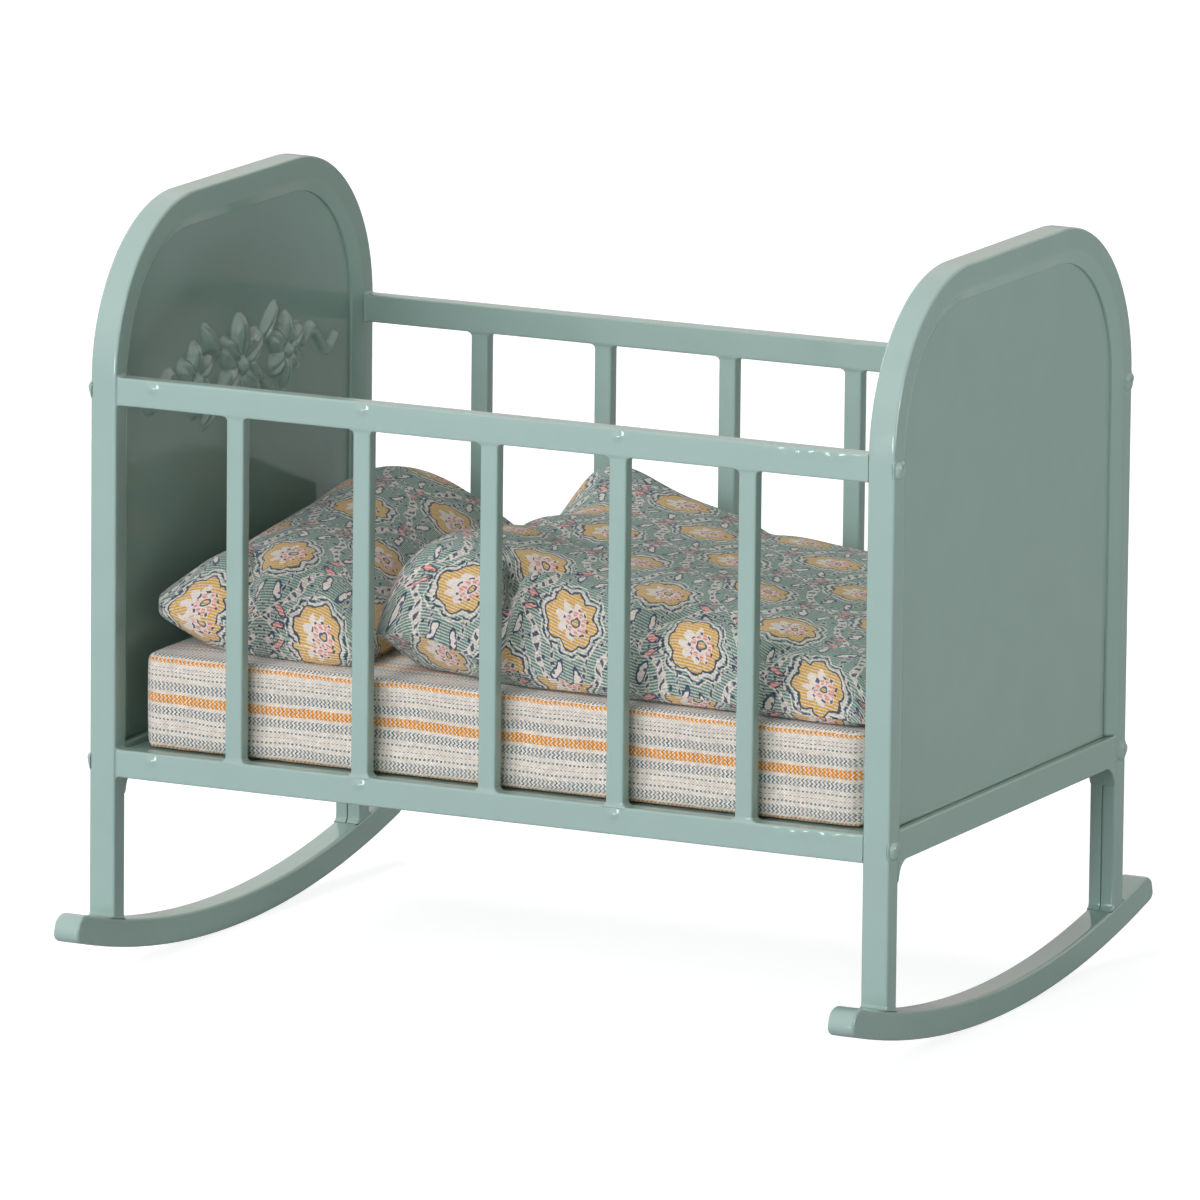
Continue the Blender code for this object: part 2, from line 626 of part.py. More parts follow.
def pillow(name, material):
    """A blunt-edged pillow, highest behind its middle, its head end propped on the headboard."""
    half_x, half_y = PILLOW_LENGTH / 2, PILLOW_WIDTH / 2

    def place(u, v, side):
        u, v = spread(u), spread(v)
        x = PILLOW_X + u * (half_x - PILLOW_DRAW_IN * (1 - v ** 2))
        y = v * (half_y - PILLOW_DRAW_IN * (1 - u ** 2))
        edge = PILLOW_EDGE * math.sqrt(max(0.0, (1 - u ** 8) * (1 - v ** 10)))
        puff = (1 - u ** 2) * math.sqrt(max(0.0, 1 - v ** 4))
        bed = mattress_top(x, y) + REST_GAP
        lean = (PILLOW_LEAN + PILLOW_LEAN_TWIST * v) * ((1 - u) / 2) ** 2
        seam = bed + PILLOW_SEAM_RISE + lean
        if side < 0:
            return x, y, max(bed, seam - edge - PILLOW_BELLY * puff)
        return x, y, seam + edge + puff * (PILLOW_CROWN + PILLOW_REAR_RISE * v)

    return cushion(name, PILLOW_COLUMNS, PILLOW_ROWS, place, material)


def crease_depth(x, y):
    """How far the duvet dips here: each crease is deepest at its front end and fades out."""
    dip = 0.0
    for start, end, share in CREASE_SHARES:
        head = Vector((DUVET_X + start[0] * DUVET_LENGTH / 2, start[1] * DUVET_WIDTH / 2))
        tail = Vector((DUVET_X + end[0] * DUVET_LENGTH / 2, end[1] * DUVET_WIDTH / 2))
        run = tail - head
        here = Vector((x, y)) - head
        along = min(1.0, max(0.0, here.dot(run) / run.length_squared))
        away = (here - run * along).length
        dip += share * (1 - along ** 2) * math.exp(-(away / DUVET_CREASE_WIDTH) ** 2)
    return DUVET_CREASE_DEPTH * dip


def duvet(name, material):
    """A puffed duvet: blunt edges, higher towards the pillow, two creases, one corner turned up."""
    half_x, half_y = DUVET_LENGTH / 2, DUVET_WIDTH / 2

    def place(u, v, side):
        u, v = spread(u), spread(v)
        x = DUVET_X + u * (half_x - DUVET_DRAW_IN * (1 - v ** 2))
        y = v * (half_y - DUVET_DRAW_IN * (1 - u ** 2))
        puff = math.sqrt(max(0.0, (1 - u ** 8) * (1 - v ** 10)))
        bed = mattress_top(x, y) + REST_GAP
        corner = ((1 - u) / 2 * (1 + v) / 2) ** 6
        seam = bed + DUVET_SEAM_RISE - DUVET_SEAM_TWIST * u + DUVET_CORNER_LIFT * corner
        if side < 0:
            return x, y, max(bed, seam - DUVET_BELLY * puff)
        crown = DUVET_CROWN - DUVET_HEAD_RISE * u + DUVET_REAR_RISE * v + DUVET_TWIST * u * v
        return x, y, seam + puff * (crown - crease_depth(x, y))

    return cushion(name, DUVET_COLUMNS, DUVET_ROWS, place, material)


def build():
    """Make every piece of the cradle."""
    enamel = new_material(*ENAMEL)
    ticking = new_material(*TICKING)
    twill = new_material(*TWILL)
    for end, x in (("headboard", -FRAME_X), ("footboard", FRAME_X)):
        end_frame(end + "_frame", x, enamel)
        panel = end_panel(end + "_panel", x, enamel)
        if x < 0:
            headboard_relief(panel)
        crossbar(end + "_crossbar", x, enamel)
        rocker(end + "_rocker", x, enamel)
    for side, y in (("front", -RAIL_Y), ("rear", RAIL_Y)):
        rail(side + "_top_rail", y, TOP_RAIL_Z, enamel)
        rail(side + "_bottom_rail", y, BOTTOM_RAIL_Z, enamel)
        for index, x in enumerate(bar_places()):
            bar(f"{side}_bar_{index + 1}", x, y, enamel)
    bed_base("bed_base", enamel)
    mattress("mattress", ticking)
    pillow("pillow", twill)
    duvet("duvet", twill)


build()
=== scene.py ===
"""Looks of a doll cradle: stoved enamel on sheet metal, striped ticking and printed twill.

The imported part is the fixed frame. Every enamelled piece but the tray is drawn again here as a
smooth surface of the same size, with the paint pooled where pieces meet, and the bedding is
stuffed cloth. X runs from the head end (-X) to the foot end (+X), front is -Y, Z is up, and
lengths are metres.
"""
import math

import bmesh
import bpy
import numpy as np
from mathutils import Matrix, Vector


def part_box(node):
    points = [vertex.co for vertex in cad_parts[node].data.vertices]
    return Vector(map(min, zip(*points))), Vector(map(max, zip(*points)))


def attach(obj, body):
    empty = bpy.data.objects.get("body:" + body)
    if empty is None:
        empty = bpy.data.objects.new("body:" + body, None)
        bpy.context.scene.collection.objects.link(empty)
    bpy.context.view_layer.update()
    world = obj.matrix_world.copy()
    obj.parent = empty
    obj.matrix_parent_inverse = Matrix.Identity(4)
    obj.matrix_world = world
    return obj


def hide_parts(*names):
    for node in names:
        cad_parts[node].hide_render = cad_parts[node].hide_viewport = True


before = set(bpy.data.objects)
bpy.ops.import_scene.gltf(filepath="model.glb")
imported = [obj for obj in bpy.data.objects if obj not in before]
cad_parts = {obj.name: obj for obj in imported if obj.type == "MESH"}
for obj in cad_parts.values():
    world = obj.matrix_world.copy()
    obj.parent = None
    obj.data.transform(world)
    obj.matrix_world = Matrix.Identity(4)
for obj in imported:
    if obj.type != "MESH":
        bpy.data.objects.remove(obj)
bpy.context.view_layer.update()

bl_info = {
    "name": "Doll cradle looks",
    "version": (1, 0, 0),
    "blender": (4, 5, 0),
    "location": "3D View > Sidebar > Cradle",
    "description": "Enamelled doll cradle with a striped mattress, a pillow and a duvet",
    "category": "Add Mesh",
}

MM = 0.001
PI = math.pi
TAU = 2 * math.pi
BODY = "cradle"


def linear(code):
    """Linear colour of an sRGB hex code, with full alpha."""
    parts = [int(code[i:i + 2], 16) / 255 for i in (1, 3, 5)]
    return (*(c / 12.92 if c <= 0.04045 else ((c + 0.055) / 1.055) ** 2.4 for c in parts), 1.0)


def corners(name):
    """Lowest and highest corner of a CAD node, as arrays."""
    low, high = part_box(name)
    return np.array(low), np.array(high)


# Places read off the CAD nodes
FRAME_LOW, FRAME_HIGH = corners("footboard_frame")
PANEL_LOW, PANEL_HIGH = corners("footboard_panel")
CROSS_LOW, CROSS_HIGH = corners("footboard_crossbar")
ROCKER_TIP = corners("footboard_rocker")[1][1]
RAIL_BOXES = {"top": corners("rear_top_rail"), "bottom": corners("rear_bottom_rail")}
MATTRESS_LOW, MATTRESS_HIGH = corners("mattress")
PILLOW_LOW, PILLOW_HIGH = corners("pillow")
DUVET_LOW, DUVET_HIGH = corners("duvet")
HALF_WIDTH = FRAME_HIGH[1]
CROWN_Z = FRAME_HIGH[2]
FRAME_X = (FRAME_LOW[0] + FRAME_HIGH[0]) / 2
FRAME_DEPTH = FRAME_HIGH[0] - FRAME_LOW[0]
INNER_X = FRAME_LOW[0]

ENDS = (("headboard", -1), ("footboard", 1))
SIDES = (("front", -1), ("rear", 1))
TUCK = 1.5 * MM                 # depth of the slot that holds a panel's edge
MATTRESS_CROWN = 0.7            # rise of the mattress's top in its middle, in millimetres


def length(name, description, millimetres):
    """A length that the user may change, given in millimetres."""
    return bpy.props.FloatProperty(name=name, description=description, default=millimetres * MM,
                                   unit="LENGTH", precision=5)


def hue(name, description, code):
    """A colour that the user may change, given as an sRGB hex code."""
    return bpy.props.FloatVectorProperty(name=name, description=description, subtype="COLOR",
                                         size=4, default=linear(code))


class CradleSizes(bpy.types.PropertyGroup):
    """Sizes that a user might change. They follow the CAD part."""

    leg_face: length("Leg face", "Width of each leg, across the cradle", 3.4)
    rim_flat: length("Rim", "Flat face of the arched rim", 3.5)
    lip_width: length("Lip width", "Sloped lip between the rim and the panel", 1.8)
    lip_drop: length("Lip drop", "How far the lip slopes back", 0.9)
    arch_radius: length("Arch radius", "Outer radius of the arched ends", 25)
    rocker_radius: length("Rocker radius", "Curve of the rockers' underside", 192)
    rocker_depth: length("Rocker depth", "Thickness of each rocker, up and down", 4.3)
    edge_round: length("Edge rounding", "Rounding that the paint gives an edge", 0.45)
    pool: length("Paint pool", "Fillet of paint where two pieces meet", 0.75)
    relief_rise: length("Relief", "How far the pressed flowers stand out", 1.6)
    rib_pitch: length("Rib pitch", "Distance between the ribs of the twill", 0.46)


class CradleColours(bpy.types.PropertyGroup):
    """Colours of the paint and the cloth."""

    enamel: hue("Enamel", "Mint-green stoved enamel", "#9BB7AC")
    cream: hue("Cream", "Undyed cotton", "#E4DFCF")
    slate: hue("Slate", "Grey-blue stripes of the ticking", "#406A78")
    orange: hue("Orange", "Orange stripes of the ticking", "#E0942C")
    sage: hue("Sage", "Ground of the printed twill", "#60867C")
    blush: hue("Blush", "Pale cream of the print", "#DCD4C8")
    mustard: hue("Mustard", "Yellow of the printed rosettes", "#CBA24C")
    pink: hue("Pink", "Small petals and leaves of the print", "#D98880")
    navy: hue("Navy", "Outlines and dots of the print", "#1E3A55")


def sizes():
    """The sizes set in the panel."""
    return bpy.context.scene.cradle_sizes


def colours():
    """The colours set in the panel."""
    return bpy.context.scene.cradle_colours


# Materials ------------------------------------------------------------------------------------

def node(tree, kind, inputs=None, **settings):
    """Add a node with these settings, and give each input a value, a socket or a node's output."""
    made = tree.nodes.new(kind)
    for key, value in settings.items():
        setattr(made, key, value)
    for key, value in (inputs or {}).items():
        if isinstance(value, bpy.types.Node):
            value = value.outputs[0]
        if isinstance(value, bpy.types.NodeSocket):
            tree.links.new(value, made.inputs[key])
        else:
            made.inputs[key].default_value = value
    return made


def work_out(tree, start, lines):
    """Run lines of (name, value, operation, values..., operation, values...) as Math nodes.

    Each operation, in capitals, takes the result so far as its first value. A value is a number
    or the name of an earlier result.
    """
    found = dict(start)
    for name, first, *rest in lines:
        result = found[first]
        marks = [i for i, item in enumerate(rest) if isinstance(item, str) and item.isupper()]
        for i, end in zip(marks, marks[1:] + [None]):
            values = [found[v] if isinstance(v, str) else v for v in rest[i + 1:end]]
            inputs = dict(enumerate([result] + values))
            result = node(tree, "ShaderNodeMath", inputs, operation=rest[i]).outputs[0]
        found[name] = result
    return found


def blank_material(name):
    """A new material, its node tree, and its Principled shader."""
    material = bpy.data.materials.new(name)
    material.use_nodes = True
    return material, material.node_tree, material.node_tree.nodes["Principled BSDF"]


def layered(tree, ground, layers, blend="MIX"):
    """Lay colours over the ground, one after another, each where its mask is 1."""
    colour = ground
    for mask, top in layers:
        mix = node(tree, "ShaderNodeMix", {0: mask, 6: colour, 7: top}, data_type="RGBA",
                   blend_type=blend)
        colour = mix.outputs[2]
    return colour


def finished(tree, shader, colour, high, strength, inputs):
    """Give the shader its colour, its relief in millimetres and its plain inputs."""
    relief = node(tree, "ShaderNodeBump", {"Strength": strength, "Distance": MM, "Height": high})
    tree.links.new(colour, shader.inputs["Base Color"])
    tree.links.new(relief.outputs[0], shader.inputs["Normal"])
    for name, value in inputs.items():
        shader.inputs[name].default_value = value


def stoved_enamel():
    """Mint stoved enamel, dipped and baked: a thick, glossy coat with slow waves and orange peel.

    The eye sees mirror images of the lights and of the pieces around, bent a little by the waves
    and broken by the orange peel (about 1.3 mm apart), and a slightly deeper green where the coat
    is thick.
    """
    material, tree, shader = blank_material("stoved_enamel")
    place = node(tree, "ShaderNodeTexCoord").outputs["Object"]
    peel = node(tree, "ShaderNodeTexNoise",
                {"Vector": place, "Scale": 1 / (1.3 * MM), "Detail": 1.5})
    waves = node(tree, "ShaderNodeTexNoise",
                 {"Vector": place, "Scale": 1 / (9 * MM), "Detail": 2.0})
    thick = node(tree, "ShaderNodeMapRange", {"Value": waves, "From Min": 0.35, "From Max": 0.65,
                                              "To Min": 0.0, "To Max": 0.35})
    base = tuple(colours().enamel)
    deep = tuple(c * 0.92 for c in base[:3]) + (1.0,)
    high = work_out(tree, {"peel": peel.outputs[0], "waves": waves.outputs[0]}, [
        ("fine", "peel", "MULTIPLY", 0.007), ("high", "waves", "MULTIPLY_ADD", 0.09, "fine")])
    finished(tree, shader, layered(tree, base, [(thick, deep)]), high["high"], 1.0,
             {"Roughness": 0.11, "IOR": 1.55})
    return material


# The ticking's stripes: millimetres round the mattress from its lower seam, from and to, per repeat
STRIPE_REPEAT = 13.1
STRIPES = {
    "orange": [(0.0, 0.45), (6.95, 8.3), (12.95, 13.1)],
    "slate": [(0.8, 2.1), (5.15, 6.4), (8.85, 10.15)],
    "dashes": [(2.65, 2.95), (3.55, 3.68), (4.3, 4.6), (10.85, 11.15), (11.6, 11.75),
               (12.2, 12.32)],
}
ZIGZAG_RUN, ZIGZAG_RISE = 0.68, 0.66    # one zigzag along the stripe, and across it
THREADS_APART = 0.48


def cotton_ticking():
    """Plain-woven cotton ticking with fine stripes along the mattress.

    The broad stripes are woven in a small zigzag, drawn at 0.7 mm so that it shows, and the ground
    shows between its strokes. Single coloured threads give dashed lines between them. The stripes
    run along the mattress on its top and sides, and across it on its ends. Matt, with a soft sheen
    from loose fibres.
    """
    material, tree, shader = blank_material("cotton_ticking")
    place = node(tree, "ShaderNodeTexCoord").outputs["Object"]
    drift = node(tree, "ShaderNodeTexNoise",
                 {"Vector": place, "Scale": 1 / (11 * MM), "Detail": 2.0})
    slub = node(tree, "ShaderNodeTexNoise",
                {"Vector": place, "Scale": 1 / (0.9 * MM), "Detail": 3.0})
    spot = node(tree, "ShaderNodeSeparateXYZ", {0: place})
    normal = node(tree, "ShaderNodeNewGeometry").outputs["Normal"]
    facing = node(tree, "ShaderNodeSeparateXYZ", {0: normal})
    base, front = float(MATTRESS_LOW[2]) / MM, float(MATTRESS_LOW[1]) / MM
    thick = float(MATTRESS_HIGH[2] - MATTRESS_LOW[2]) / MM - MATTRESS_CROWN
    values = work_out(tree, {
        "x": spot.outputs[0], "y": spot.outputs[1], "z": spot.outputs[2], "up": facing.outputs[2],
        "end": facing.outputs[0], "drift": drift.outputs[0], "slub": slub.outputs[0]}, [
        ("x", "x", "DIVIDE", MM), ("y", "y", "DIVIDE", MM), ("z", "z", "DIVIDE", MM),
        # on the ends of the mattress y takes the place of x
        ("end", "end", "ABSOLUTE", "GREATER_THAN", 0.72),
        ("x", "y", "SUBTRACT", "x", "MULTIPLY_ADD", "end", "x"),
        # s goes up the sides and then over the top, from the front
        ("side", "z", "SUBTRACT", base), ("upper", "up", "GREATER_THAN", 0.72),
        ("s", "y", "SUBTRACT", front, "ADD", thick - 1.0, "SUBTRACT", "side",
         "MULTIPLY_ADD", "upper", "side"),
        ("sway", "drift", "SUBTRACT", 0.5), ("rough", "slub", "SUBTRACT", 0.5),
        ("s", "sway", "MULTIPLY_ADD", 0.8, "s"), ("s", "rough", "MULTIPLY_ADD", 0.22, "s"),
        ("share", "s", "WRAP", STRIPE_REPEAT, 0.0, "DIVIDE", STRIPE_REPEAT),
        ("zig", "s", "MULTIPLY", TAU / ZIGZAG_RISE, "SINE"),
        ("along", "x", "MULTIPLY", TAU / ZIGZAG_RUN),
        ("along", "sway", "MULTIPLY_ADD", 9.0, "along"),
        ("stroke", "zig", "MULTIPLY_ADD", 1.4, "along", "SINE"),
        ("zigzag", "stroke", "GREATER_THAN", 0.22), ("solid", "stroke", "GREATER_THAN", -0.5),
        ("dash", "along", "SINE", "GREATER_THAN", 0.0),
        ("weft", "s", "MULTIPLY", TAU / THREADS_APART, "SINE"),
        ("weave", "x", "MULTIPLY", TAU / THREADS_APART, "SINE", "MULTIPLY", "weft"),
        ("tone", "weave", "MULTIPLY_ADD", 0.22, 0.90),
        ("tone", "rough", "MULTIPLY_ADD", 0.60, "tone"),
        ("high", "weave", "MULTIPLY", 0.04), ("high", "rough", "MULTIPLY_ADD", 0.10, "high")])
    masks = {}
    for name, bands in STRIPES.items():
        ramp = node(tree, "ShaderNodeValToRGB", {0: values["share"]})
        ramp.color_ramp.interpolation = "CONSTANT"
        ramp.color_ramp.elements[0].color = (0, 0, 0, 1)
        ramp.color_ramp.elements.remove(ramp.color_ramp.elements[1])
        for start, end in bands:
            for at, level in ((start, 1), (end, 0)):
                stop = ramp.color_ramp.elements.new(min(at / STRIPE_REPEAT, 1.0))
                stop.color = (level, level, level, 1)
        masks[name] = ramp.outputs[0]
    masks = work_out(tree, {**values, **masks}, [
        ("worn", "rough", "MULTIPLY_ADD", 1.2, 0.80),
        ("slate", "slate", "MULTIPLY", "zigzag", "MULTIPLY", "worn"),
        ("dashes", "dashes", "MULTIPLY", "dash", "MULTIPLY", "worn"),
        ("orange", "orange", "MULTIPLY", "solid")])
    hues = colours()
    colour = layered(tree, tuple(hues.cream), [
        (masks["slate"], tuple(hues.slate)), (masks["dashes"], tuple(hues.slate)),
        (masks["orange"], tuple(hues.orange))])
    colour = layered(tree, colour, [(1.0, values["tone"])], "MULTIPLY")
    finished(tree, shader, colour, values["high"], 0.8, {
        "Roughness": 0.92, "Specular IOR Level": 0.2, "Sheen Weight": 0.35, "Sheen Roughness": 0.5})
    return material


# The print, in millimetres: an ogee lattice with one rosette in each cell
CELL_WIDTH = 20.5
CELL_HEIGHT = 24.0
ROSETTE = 4.3
LOBE = 0.62             # how far the rosette's lobes stand out
EYE_OFF = 0.6           # how far the rosette's eye stands off its middle
BAND_OFF = 1.85         # how far the fainter line of the lattice stands off the pale one
LEAVES = ((1.7, 8.0, 1.25, 1.5, 0.5), (7.5, 1.1, 0.35, 1.4, 0.45))  # x, y, turn, half the sizes
DOTS = ((5.6, 5.0), (3.9, 7.0), (7.4, 3.2))
DOT_RADIUS = 0.30
PICK_RUN, PICK_RISE = 0.52, 0.80    # the diagonal of the twill, along a rib and across it


def print_shapes():
    """Math lines of the sprigs' leaves and dots: turned ellipses and discs about their places."""
    lines = []
    for i, (cx, cy, turn, long, wide) in enumerate(LEAVES):
        c, s = math.cos(turn), math.sin(turn)
        lines += [
            ("dx", "xc", "SUBTRACT", cx), ("dy", "yc", "SUBTRACT", cy),
            ("e", "dx", "MULTIPLY", c / long), ("e", "dy", "MULTIPLY_ADD", s / long, "e"),
            ("f", "dx", "MULTIPLY", -s / wide), ("f", "dy", "MULTIPLY_ADD", c / wide, "f"),
            ("ee", "e", "MULTIPLY", "e"), ("ee", "f", "MULTIPLY_ADD", "f", "ee"),
            (f"leaf{i}", "ee", "LESS_THAN", 1.0), (f"edge{i}", "ee", "COMPARE", 1.15, 0.40)]
    for i, (cx, cy) in enumerate(DOTS):
        lines += [
            ("dx", "xc", "SUBTRACT", cx), ("dy", "yc", "SUBTRACT", cy),
            ("dd", "dx", "MULTIPLY", "dx"),
            (f"dot{i}", "dy", "MULTIPLY_ADD", "dy", "dd", "LESS_THAN", DOT_RADIUS ** 2)]
    return lines


def printed_twill():
    """Cotton twill, block-printed with a traditional ogee lattice, rosettes and sprigs.

    The weft ribs stand about 0.46 mm apart and show their undyed cream thread between lines of
    printed ground, so the print looks drawn in fine lines. Matt, with a slight sheen.
    """
    material, tree, shader = blank_material("printed_twill")
    uv = node(tree, "ShaderNodeUVMap", uv_map="cloth").outputs[0]
    spot = node(tree, "ShaderNodeSeparateXYZ", {0: uv})
    place = node(tree, "ShaderNodeVectorMath", {0: uv, "Scale": 1 / MM}, operation="SCALE")
    wobble = node(tree, "ShaderNodeTexNoise", {"Vector": place, "Scale": 0.45, "Detail": 2.0})
    fibre = node(tree, "ShaderNodeTexNoise", {"Vector": place, "Scale": 2.6, "Detail": 3.0})
    shift = node(tree, "ShaderNodeSeparateXYZ", {0: wobble.outputs["Color"]})
    normal = node(tree, "ShaderNodeNewGeometry").outputs["Normal"]
    facing = node(tree, "ShaderNodeSeparateXYZ", {0: normal})
    values = work_out(tree, {
        "u": spot.outputs[0], "v": spot.outputs[1], "du": shift.outputs[0], "dv": shift.outputs[1],
        "fibre": fibre.outputs[0], "up": facing.outputs[2]}, [
        ("u", "u", "DIVIDE", MM), ("v", "v", "DIVIDE", MM),
        ("x", "du", "SUBTRACT", 0.5, "MULTIPLY_ADD", 1.8, "u"),
        ("y", "dv", "SUBTRACT", 0.5, "MULTIPLY_ADD", 1.8, "v"),
        # fold the plane on to one quarter of the cell whose centre is nearest
        ("sx", "x", "WRAP", CELL_WIDTH / 2, -CELL_WIDTH / 2), ("a", "sx", "ABSOLUTE"),
        ("b", "y", "WRAP", CELL_HEIGHT / 2, -CELL_HEIGHT / 2, "ABSOLUTE"),
        ("af", "a", "DIVIDE", CELL_WIDTH), ("bf", "b", "DIVIDE", CELL_HEIGHT),
        ("edge", "af", "ADD", "bf", "SUBTRACT", 0.5),
        ("edge", "bf", "MULTIPLY", 2 * TAU, "SINE", "MULTIPLY_ADD", 0.07, "edge"),
        ("other", "edge", "GREATER_THAN", 0.0),
        ("xc", "a", "MULTIPLY_ADD", -2.0, CELL_WIDTH / 2, "MULTIPLY_ADD", "other", "a"),
        ("yc", "b", "MULTIPLY_ADD", -2.0, CELL_HEIGHT / 2, "MULTIPLY_ADD", "other", "b"),
        # sx keeps its sign, so that the rosette can lean to one side
        ("sx", "sx", "SIGN", "MULTIPLY", "other", "MULTIPLY_ADD", -CELL_WIDTH / 2, "sx"),
        # the lattice: a pale line with beads in it, and beside it a fainter one with dashes
        ("line", "edge", "ABSOLUTE",
         "MULTIPLY", 1 / math.hypot(1 / CELL_WIDTH, 1 / CELL_HEIGHT)),
        ("rail", "line", "LESS_THAN", 0.50), ("band", "line", "COMPARE", BAND_OFF, 0.30),
        ("run", "bf", "SUBTRACT", "af", "MULTIPLY", TAU * 11),
        ("step", "run", "MULTIPLY", 1.5, "COSINE", "GREATER_THAN", 0.1),
        ("trail", "line", "COMPARE", BAND_OFF, 0.17, "MULTIPLY", "step"),
        ("thread", "line", "LESS_THAN", 0.27),
        ("bead", "run", "COSINE", "GREATER_THAN", 0.30, "MULTIPLY", "thread"),
        # the rosette: r and angle about the cell's centre, q and angle about its eye
        ("rr", "xc", "MULTIPLY", "xc"), ("r", "yc", "MULTIPLY_ADD", "yc", "rr", "SQRT"),
        ("turn", "yc", "ARCTAN2", "xc"), ("lobe", "turn", "MULTIPLY", 4.0, "COSINE", "ABSOLUTE"),
        ("size", "lobe", "MULTIPLY_ADD", LOBE, ROSETTE - LOBE),
        ("size", "sx", "DIVIDE", "r", "MULTIPLY_ADD", -0.45, "size"),
        ("share", "r", "DIVIDE", "size"), ("deep", "lobe", "MULTIPLY_ADD", 0.18, 0.47),
        ("qx", "sx", "SUBTRACT", EYE_OFF), ("qq", "qx", "MULTIPLY", "qx"),
        ("q", "yc", "MULTIPLY_ADD", "yc", "qq", "SQRT"), ("out", "r", "SUBTRACT", "size"),
        ("gap", "turn", "MULTIPLY", 18.0, "COSINE", "GREATER_THAN", -0.5),
        ("ring", "out", "COMPARE", 0.95, 0.14, "MULTIPLY", "gap"),
        ("halo", "out", "COMPARE", 0.45, 0.24), ("outer", "out", "COMPARE", 1.32, 0.15),
        ("rim", "out", "COMPARE", 0.0, 0.14), ("petal", "out", "LESS_THAN", 0.0),
        ("inner", "share", "LESS_THAN", "deep"),
        ("count", "yc", "ARCTAN2", "qx", "MULTIPLY", 9.0, "COSINE"),
        ("petals", "count", "GREATER_THAN", -0.45), ("between", "count", "LESS_THAN", -0.3),
        ("pink", "q", "COMPARE", 1.30, 0.36, "MULTIPLY", "petals"),
        ("seeds", "q", "COMPARE", 1.88, 0.17, "MULTIPLY", "between"),
        ("core", "q", "LESS_THAN", 0.44), ("vein", "q", "COMPARE", 0.56, 0.13),
        # small flowers of eight petals where the lattice lines cross
        ("kx", "xc", "SUBTRACT", CELL_WIDTH / 2), ("kk", "kx", "MULTIPLY", "kx"),
        ("k", "yc", "MULTIPLY_ADD", "yc", "kk", "SQRT"),
        ("disc", "k", "LESS_THAN", 1.5), ("pip", "k", "LESS_THAN", 0.36),
        ("kturn", "yc", "ARCTAN2", "kx", "MULTIPLY", 8.0, "COSINE", "GREATER_THAN", -0.2),
        ("knot", "k", "COMPARE", 1.15, 0.2, "MULTIPLY", "kturn"),
        *print_shapes(),
        ("rib", "v", "MULTIPLY", TAU * MM / sizes().rib_pitch),
        ("rib", "fibre", "MULTIPLY_ADD", 1.3, "rib", "SINE"),
        ("pick", "u", "MULTIPLY", TAU / PICK_RUN),
        ("pick", "v", "MULTIPLY_ADD", TAU / PICK_RISE, "pick", "SINE"),
        ("rough", "fibre", "SUBTRACT", 0.5),
        # the cream threads show more where the cloth faces sideways than where it faces up
        ("open", "up", "MULTIPLY", "up", "MULTIPLY_ADD", -0.26, 0.62),
        ("show", "pick", "MULTIPLY_ADD", 0.22, "rib"),
        ("show", "rough", "MULTIPLY_ADD", 2.4, "show", "SUBTRACT", 0.05, "MULTIPLY", 2.6,
         "MAXIMUM", 0.0, "MINIMUM", 1.0, "MULTIPLY", "open"),
        # the pale colours have worn off the ribs in places
        ("worn", "rough", "MULTIPLY_ADD", 1.8, 0.78, "MINIMUM", 1.0, "MAXIMUM", 0.25),
        ("faint", "worn", "MULTIPLY", 0.45), ("band", "band", "MULTIPLY", "faint"),
        ("rail", "rail", "MULTIPLY", "worn"), ("outer", "outer", "MULTIPLY", "worn"),
        ("halo", "halo", "MULTIPLY", "worn"), ("tone", "rough", "MULTIPLY_ADD", 0.45, 0.98),
        ("high", "rib", "MULTIPLY", 0.05), ("high", "pick", "MULTIPLY_ADD", 0.015, "high"),
        ("high", "rough", "MULTIPLY_ADD", 0.12, "high")])
    hues = colours()
    sage, blush, navy, mustard, pink, cream = (
        tuple(one) for one in (hues.sage, hues.blush, hues.navy, hues.mustard, hues.pink,
                               hues.cream))
    colour = layered(tree, sage, [(values[name], top) for name, top in (
        ("band", blush), ("rail", blush), ("disc", blush), ("leaf0", blush), ("leaf1", pink),
        ("outer", blush), ("halo", blush), ("petal", mustard), ("inner", blush), ("pink", pink),
        ("core", mustard), ("show", cream))])
    inked = ["trail", "knot", "pip", "ring", "rim", "vein", "seeds"]
    inked += [f"edge{i}" for i in range(len(LEAVES))] + [f"dot{i}" for i in range(len(DOTS))]
    strokes = [item for name in inked for item in ("MAXIMUM", name)]
    ink = work_out(tree, values, [("ink", "bead", *strokes, "MULTIPLY", 0.88)])["ink"]
    colour = layered(tree, colour, [(ink, navy)])
    colour = layered(tree, colour, [(1.0, values["tone"])], "MULTIPLY")
    finished(tree, shader, colour, values["high"], 0.9, {
        "Roughness": 0.9, "Specular IOR Level": 0.2, "Sheen Weight": 0.25, "Sheen Roughness": 0.5})
    return material


MAKERS = {"stoved_enamel": stoved_enamel, "cotton_ticking": cotton_ticking,
          "printed_twill": printed_twill}


def material_named(name):
    """The material of this name, made the first time it is asked for."""
    return bpy.data.materials.get(name) or MAKERS[name]()


# Surfaces -------------------------------------------------------------------------------------

def grid_faces(rows, columns, round_columns=False):
    """Four-sided faces between neighbouring points of a grid that is stored row by row."""
    i, j = np.meshgrid(np.arange(rows - 1), np.arange(columns if round_columns else columns - 1),
                       indexing="ij")
    k = (j + 1) % columns
    quads = [i * columns + j, (i + 1) * columns + j, (i + 1) * columns + k, i * columns + k]
    return np.stack(quads, -1).reshape(-1, 4)


